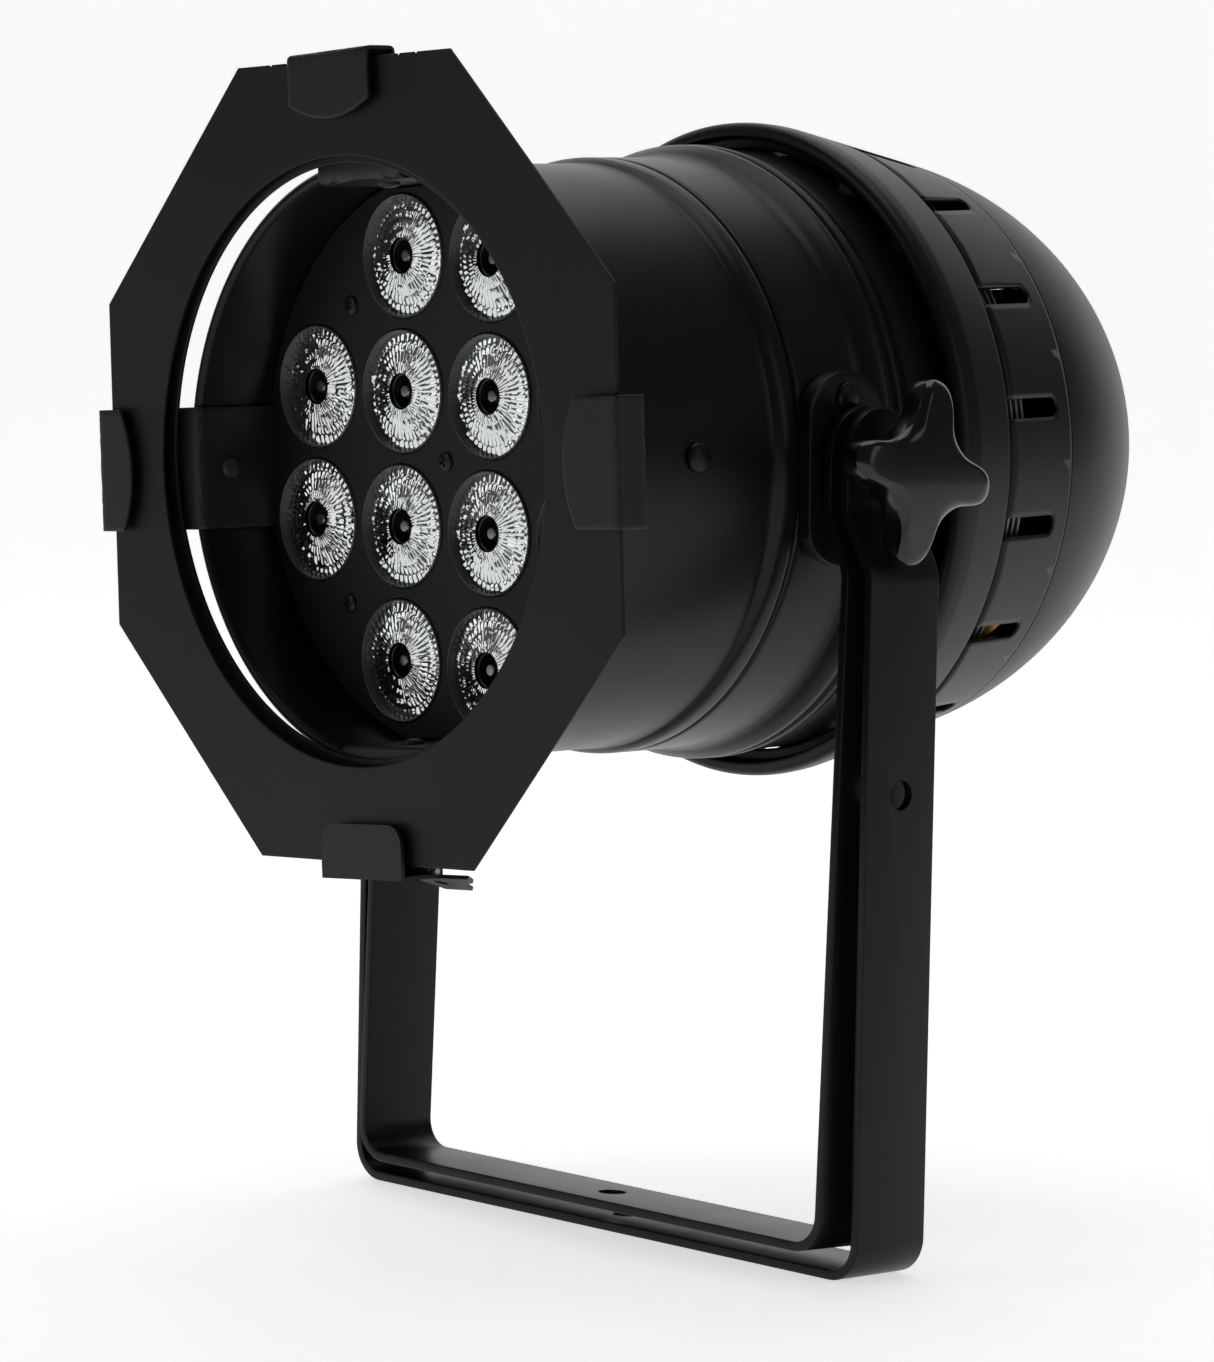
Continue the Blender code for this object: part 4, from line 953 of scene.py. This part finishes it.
def make_pivot_stack():
    """On each side, outwards from the can: rubber washer, spacer, zinc washer, and the bolt through them."""
    for side, sign in (("right", 1), ("left", -1)):
        place = OUTER @ outward(sign)
        head_place = HEAD @ outward(sign)
        revolve("pivot_washer_%s_ring" % side, ring_profile(0.0100, PAD_FACE + 0.0003, INNER_FACE - 0.0033),
                head_place, "head", rubber, 64, replaces=("pivot_washer_%s" % side,))
        spacer = ring_profile(0.0090, INNER_FACE + 0.0003, INNER_FACE + HEAD_BRACKET_GAP - 0.0003)
        revolve("arm_spacer_%s_ring" % side, spacer, place, "outer_bracket", spacer_metal, 64,
                replaces=("arm_spacer_%s" % side,))
        revolve("knob_washer_%s_ring" % side, ring_profile(0.0088, OUTER_FACE + 0.0003, WASHER_TOP),
                place, "outer_bracket", zinc, 64, replaces=("knob_washer_%s" % side,))
        bolt = [(MID_RADIUS + 0.0003, 0.0), (MID_RADIUS + 0.0003, BOLT_RADIUS),
                (KNOB_SEAT + 0.0135, BOLT_RADIUS), (KNOB_SEAT + 0.0135, 0.0)]
        revolve("pivot_bolt_%s_shank" % side, bolt, head_place, "head", zinc, 48, False,
                replaces=("pivot_bolt_%s" % side,))


KNOB_RADIUS = 0.0280
KNOB_WAIST = 0.0150
KNOB_HEIGHT = 0.0196
LOBE_DEPTH = 0.0105
KNOB_TURN = 11.0
LOBE_RADIUS = 0.0080
LOBE_SHOULDER = 0.0260
SCOOP_CENTRE = 0.0312


def knob_reach(angle):
    """Outline of the four-lobed star, as its reach at each angle.

    A lobe's end is the far side of a circle on its arm. A hollow is the near side of a circle centred
    out between two lobes. The reach is the lesser of the two, and beside a lobe at most LOBE_SHOULDER.
    """
    off = np.abs((angle + np.pi / 4) % (np.pi / 2) - np.pi / 4)
    away = np.pi / 4 - off
    scooped = (SCOOP_CENTRE - KNOB_WAIST) ** 2 - (SCOOP_CENTRE * np.sin(away)) ** 2
    hollow = np.where(scooped > 0, SCOOP_CENTRE * np.cos(away) - np.sqrt(np.maximum(scooped, 0)), 1.0)
    arm = KNOB_RADIUS - LOBE_RADIUS
    on_lobe = LOBE_RADIUS ** 2 - (arm * np.sin(off)) ** 2
    end = arm * np.cos(off) + np.sqrt(np.maximum(on_lobe, 0))
    return np.where(on_lobe > 0, np.minimum(end, hollow), np.minimum(hollow, LOBE_SHOULDER))


def smooth_ring(values, passes):
    """Softens values round a ring: each becomes half itself and a quarter of either neighbour."""
    for _ in range(passes):
        values = 0.25 * np.roll(values, 1) + 0.5 * values + 0.25 * np.roll(values, -1)
    return values


def make_knob(side, sign):
    """The star's outline with a domed face: height falls with the square of the reach, and over the last
    stretch to the edge by a quarter circle; then a rounded lower edge, a flat underside and a hub.
    """
    segments = 288
    angle = np.linspace(0, 2 * np.pi, segments, endpoint=False)
    reach = smooth_ring(knob_reach(angle), 30)
    reach = reach * KNOB_RADIUS / reach.max()
    edge = 0.0044
    hub_top = KNOB_HEIGHT - LOBE_DEPTH
    shares = np.concatenate([np.linspace(0, 0.6, 10), 0.6 + 0.4 * np.sin(np.linspace(0, np.pi / 2, 16))[1:]])
    rows = []
    for share in shares:
        radius = reach * share
        past = np.clip(1 - (reach - radius) / edge, 0, 1)
        height = KNOB_HEIGHT - 0.0022 * (radius / KNOB_RADIUS) ** 2
        height = height - edge * 0.75 * (1 - np.sqrt(1 - past ** 2))
        rows.append(np.stack([radius * np.cos(angle), height, radius * np.sin(angle)], -1))
    for inset, height in ((0.0, hub_top + 0.0012), (0.0003, hub_top + 0.0005), (0.0010, hub_top),
                          (0.0022, hub_top), (0.0030, hub_top + 0.0010)):
        radius = reach - inset
        rows.append(np.stack([radius * np.cos(angle), np.full(segments, height), radius * np.sin(angle)], -1))
    for radius, height in ((0.0108, hub_top + 0.0010), (0.0102, hub_top - 0.0002),
                           (0.0100, hub_top - 0.002), (0.0100, 0.0006), (0.0094, 0.0), (0.0, 0.0)):
        rows.append(np.stack([radius * np.cos(angle), np.full(segments, height), radius * np.sin(angle)], -1))
    place = OUTER @ Matrix.Translation((sign * KNOB_SEAT, 0, 0)) @ outward(sign) @ turned(-KNOB_TURN, "Y")
    mesh_piece("knob_%s_star" % side, np.stack(rows), grid_faces(len(rows), segments, False, True), place,
               "knob_%s" % side, knob_plastic, 50, replaces=("knob_%s" % side,))


make_pivot_plates()
make_pivot_stack()
make_knob("right", 1)
make_knob("left", -1)


# Inside


def make_heat_sink():
    """A finned block: the outline steps out to each fin and back to the core."""
    board, core, reach = 0.0525, 0.020, 0.0865
    fins = [(0.078, 0.0012), (0.108, 0.0012), (0.138, 0.0012)]
    fins += [(VENT_FRONT + 0.0030 + 0.0023 * k, 0.0007) for k in range(5)]
    outline = [(board, 0.0), (board, 0.083), (board + 0.005, 0.083), (board + 0.005, core)]
    for start, thickness in fins:
        edge = 0.0925 if start > VENT_FRONT else reach
        outline += [(start, core), (start, edge), (start + thickness, edge), (start + thickness, core)]
    outline += [(0.1965, core), (0.1965, 0.0)]
    revolve("finned_block", head_profile(outline), HEAD, "head", fin_metal, 120, False,
            replaces=("heat_sink",))


def wire(name, corners, radius, look):
    """A round wire: circles square to a curve drawn smoothly through the corners."""
    corners = np.array(corners, float)
    t = np.linspace(0, len(corners) - 1, 33)
    line = np.stack([np.interp(t, np.arange(len(corners)), corners[:, k]) for k in range(3)], -1)
    for _ in range(6):
        line[1:-1] = 0.25 * line[:-2] + 0.5 * line[1:-1] + 0.25 * line[2:]
    ahead = np.gradient(line, axis=0)
    ahead /= np.linalg.norm(ahead, axis=1)[:, None]
    side = np.cross(ahead, (0.3, 1.0, 0.2))
    side /= np.linalg.norm(side, axis=1)[:, None]
    up = np.cross(ahead, side)
    turn = np.linspace(0, 2 * np.pi, 12, endpoint=False)[None, :, None]
    points = line[:, None] + radius * (np.cos(turn) * side[:, None] + np.sin(turn) * up[:, None])
    faces = grid_faces(33, 12, False, True).tolist() + [list(range(12)), list(range(32 * 12, 33 * 12))]
    made = mesh_piece(name, points, faces, HEAD, "head", look, 60)


def around(depth, radius, degrees):
    """A point in head coordinates from its depth, its distance from the axis and its angle."""
    angle = math.radians(degrees)
    return (radius * math.cos(angle), depth - PIVOT_DEPTH, radius * math.sin(angle))


make_heat_sink()
wire("yellow_wire", [around(0.1975, 0.070, -48), around(0.1975, 0.088, -40), around(0.1990, 0.0905, -33),
                     around(0.2010, 0.088, -26), around(0.204, 0.070, -20)], 0.0014, wire_yellow)
wire("brown_wire", [around(0.1930, 0.070, -50), around(0.1935, 0.088, -40), around(0.1955, 0.0900, -33),
                    around(0.1975, 0.088, -26), around(0.199, 0.070, -20)], 0.0012, wire_brown)


# Rear panel details

PANEL_FACE = 0.16325


def make_socket_pins():
    """Round contacts standing in each socket: three in a triangle."""
    for socket, x, z in (("data_input", -0.029, -0.006), ("data_output", 0.029, -0.006),
                         ("power_input", -0.0135, -0.030), ("power_output", 0.0135, -0.030)):
        radius, reach = (0.0008, 0.0040) if socket.startswith("data") else (0.0012, 0.0042)
        for number in range(3):
            angle = math.radians(90 + 120 * number)
            place = HEAD @ Matrix.Translation((x + reach * math.cos(angle), 0, z + reach * math.sin(angle)))
            outline = [(0.1546, 0.0), (0.1546, radius), (0.1594, radius), (0.1600, radius * 0.6),
                       (0.1601, 0.0)]
            pin = revolve("%s_pin_%d" % (socket, number + 1), outline, place, "head", pin_metal, 20,
                          False, 50)


def make_panel_screws():
    """Four screws near the rim of the rear panel."""
    spots = ((0.040, 0.022), (-0.040, 0.022), (0.038, -0.026), (-0.038, -0.026))
    for number, (x, z) in enumerate(spots, 1):
        place = HEAD @ Matrix.Translation((x, PANEL_FACE, z)) @ turned(25 * number, "Y")
        screw("panel_screw_%d" % number, 0.0027, 0.0013, place)


def bar(corners, low, high):
    """Points and faces of a flat block over a (x, z) outline, from depth low to high."""
    outline = np.array(corners, float)
    count = len(outline)
    points = np.concatenate([np.stack([outline[:, 0], np.full(count, d), outline[:, 1]], -1)
                             for d in (low, high)])
    faces = grid_faces(2, count, False, True).tolist()
    return points, faces + [list(range(count)), list(range(count, 2 * count))]


def make_display():
    """Three digits, each of the lit ones of seven short bars, and a raised border round the window."""
    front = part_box("display_board")[1][1] + 0.0005
    lit = {0: "abcdef", 1: "bc"}
    wide, tall, thick = 0.0036, 0.0038, 0.0007
    bars = {"a": (0, tall, 0), "d": (0, -tall, 0), "b": (wide / 2, tall / 2, 1),
            "c": (wide / 2, -tall / 2, 1), "f": (-wide / 2, tall / 2, 1), "e": (-wide / 2, -tall / 2, 1)}
    for place, digit in enumerate((0, 0, 1)):
        parts = []
        for segment in lit[digit]:
            x, z, upright = bars[segment]
            half_x, half_z = (thick / 2, tall / 2 - 0.0005) if upright else (wide / 2 - 0.0003, thick / 2)
            across, up = 0.0070 - 0.0070 * place - x, 0.030 + z
            parts.append(bar([(across - half_x, up - half_z), (across + half_x, up - half_z),
                              (across + half_x, up + half_z), (across - half_x, up + half_z)],
                             front - 0.0001, front + 0.0001))
        points, faces = joined_blocks(parts)
        made = mesh_piece("display_digit_%d" % (place + 1), points, faces, HEAD, "head", digit_red, 30)
    outer = [(-0.0168, 0.0214), (0.0168, 0.0214), (0.0168, 0.0386), (-0.0168, 0.0386)]
    inner = [(-0.0152, 0.0230), (0.0152, 0.0230), (0.0152, 0.0370), (-0.0152, 0.0370)]
    rows = []
    raised = PANEL_FACE + 0.0008
    for outline, depth in ((outer, PANEL_FACE), (outer, raised), (inner, raised), (inner, PANEL_FACE)):
        outline = np.array(outline)
        rows.append(np.stack([outline[:, 0], np.full(4, depth), outline[:, 1]], -1))
    border = mesh_piece("display_border", np.stack(rows), grid_faces(4, 4, True, True), HEAD, "head",
                        socket_plastic)


def joined_blocks(parts):
    """Several (points, faces) made one, with the faces counted on."""
    points, faces, start = [], [], 0
    for some_points, some_faces in parts:
        points.append(some_points)
        faces += [[index + start for index in face] for face in some_faces]
        start += len(some_points)
    return np.concatenate(points), faces


make_socket_pins()
make_panel_screws()
make_display()


# Catch, inside and rear panel: frame nodes kept, with their finish

KEPT = ((clip_paint, "frame_latch", "latch_base"), (zinc, "latch_pin"),
        (dark_inside, "led_board", "power_supply"),
        (plate_paint, "control_panel"), (window_glass, "display_board"),
        (socket_plastic, "data_input", "data_output", "power_input", "power_output"),
        (knob_plastic, "button_1", "button_2", "button_3", "button_4"))

for look, node in [(row[0], node) for row in KEPT for node in row[1:]]:
    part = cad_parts[node]
    part.data.materials.clear()
    part.data.materials.append(look)


# Studio

CAMERA_PLACE = Vector((1.3426, -1.1922, 0.3209))
CAMERA_HEADING = 48.784
CAMERA_ROLL = -1.051
CAMERA_TILT = 85.234
CAMERA_LENS_MM = 152.45


def make_camera():
    """A long lens at the front right: tilted about X, rolled about Y, then headed about Z."""
    facing = turned(CAMERA_HEADING, "Z") @ turned(CAMERA_ROLL, "Y") @ turned(CAMERA_TILT, "X")
    camera = bpy.data.objects.new("camera", bpy.data.cameras.new("camera"))
    camera.matrix_world = Matrix.Translation(CAMERA_PLACE) @ facing
    camera.data.lens = CAMERA_LENS_MM
    camera.data.sensor_width = 36
    camera.data.clip_end = 20
    bpy.context.collection.objects.link(camera)
    bpy.context.scene.camera = camera


def add_area(name, place, target, size, power):
    """A white soft box, turned to face its target."""
    light = bpy.data.lights.new(name, "AREA")
    light.shape = "RECTANGLE"
    light.size, light.size_y = size
    light.energy = power
    made = bpy.data.objects.new(name, light)
    place, target = Vector(place), Vector(target)
    facing = (target - place).to_track_quat("-Z", "Y").to_matrix().to_4x4()
    made.matrix_world = Matrix.Translation(place) @ facing
    bpy.context.collection.objects.link(made)


def make_studio():
    """A pale floor that curves up by a quarter circle into a backdrop, with soft lights round it."""
    paper = shader("studio_paper", (0.90, 0.90, 0.90), 0.8)
    surface = paper.node_tree.nodes["Principled BSDF"]
    surface.inputs["Emission Color"].default_value = (1, 1, 1, 1)
    surface.inputs["Emission Strength"].default_value = 0.62
    turn = np.linspace(0, np.pi / 2, 24)
    bend = 1.0
    out = np.concatenate([[-3.0, -1.0, 0.0, 1.0], 2.0 + bend * np.sin(turn), [3.0]])
    up = np.concatenate([[0.0, 0.0, 0.0, 0.0], bend * (1 - np.cos(turn)), [4.0]])
    across = np.linspace(-3.5, 3.5, 15)
    points = np.stack([np.repeat(across[None, :], len(out), 0), np.repeat(out[:, None], 15, 1),
                       np.repeat(up[:, None], 15, 1) - 0.0003], -1)
    matrix = np.array(turned(math.degrees(math.atan2(CAMERA_PLACE.x, -CAMERA_PLACE.y)), "Z"))
    points = points.reshape(-1, 3) @ matrix[:3, :3].T
    mesh = bpy.data.meshes.new("studio_sweep")
    mesh.from_pydata(points.tolist(), [], grid_faces(len(out), 15).tolist())
    mesh.materials.append(paper)
    mesh.shade_smooth()
    sweep = bpy.data.objects.new("studio_sweep", mesh)
    bpy.context.collection.objects.link(sweep)
    scene = bpy.context.scene
    scene.view_settings.view_transform = "Standard"
    world = scene.world or bpy.data.worlds.new("studio")
    scene.world = world
    world.use_nodes = True
    world.node_tree.nodes["Background"].inputs["Color"].default_value = (1, 1, 1, 1)
    world.node_tree.nodes["Background"].inputs["Strength"].default_value = 0.10
    add_area("top_light", (-0.2, 0.2, 1.9), (0, 0, 0.2), (1.2, 1.2), 7)
    add_area("front_light", (-0.9, -1.8, 1.0), (0, 0, 0.25), (0.8, 1.2), 3.6)
    add_area("side_light", (1.9, 0.6, 0.9), (0, 0, 0.25), (0.6, 1.4), 2.4)


make_camera()
make_studio()
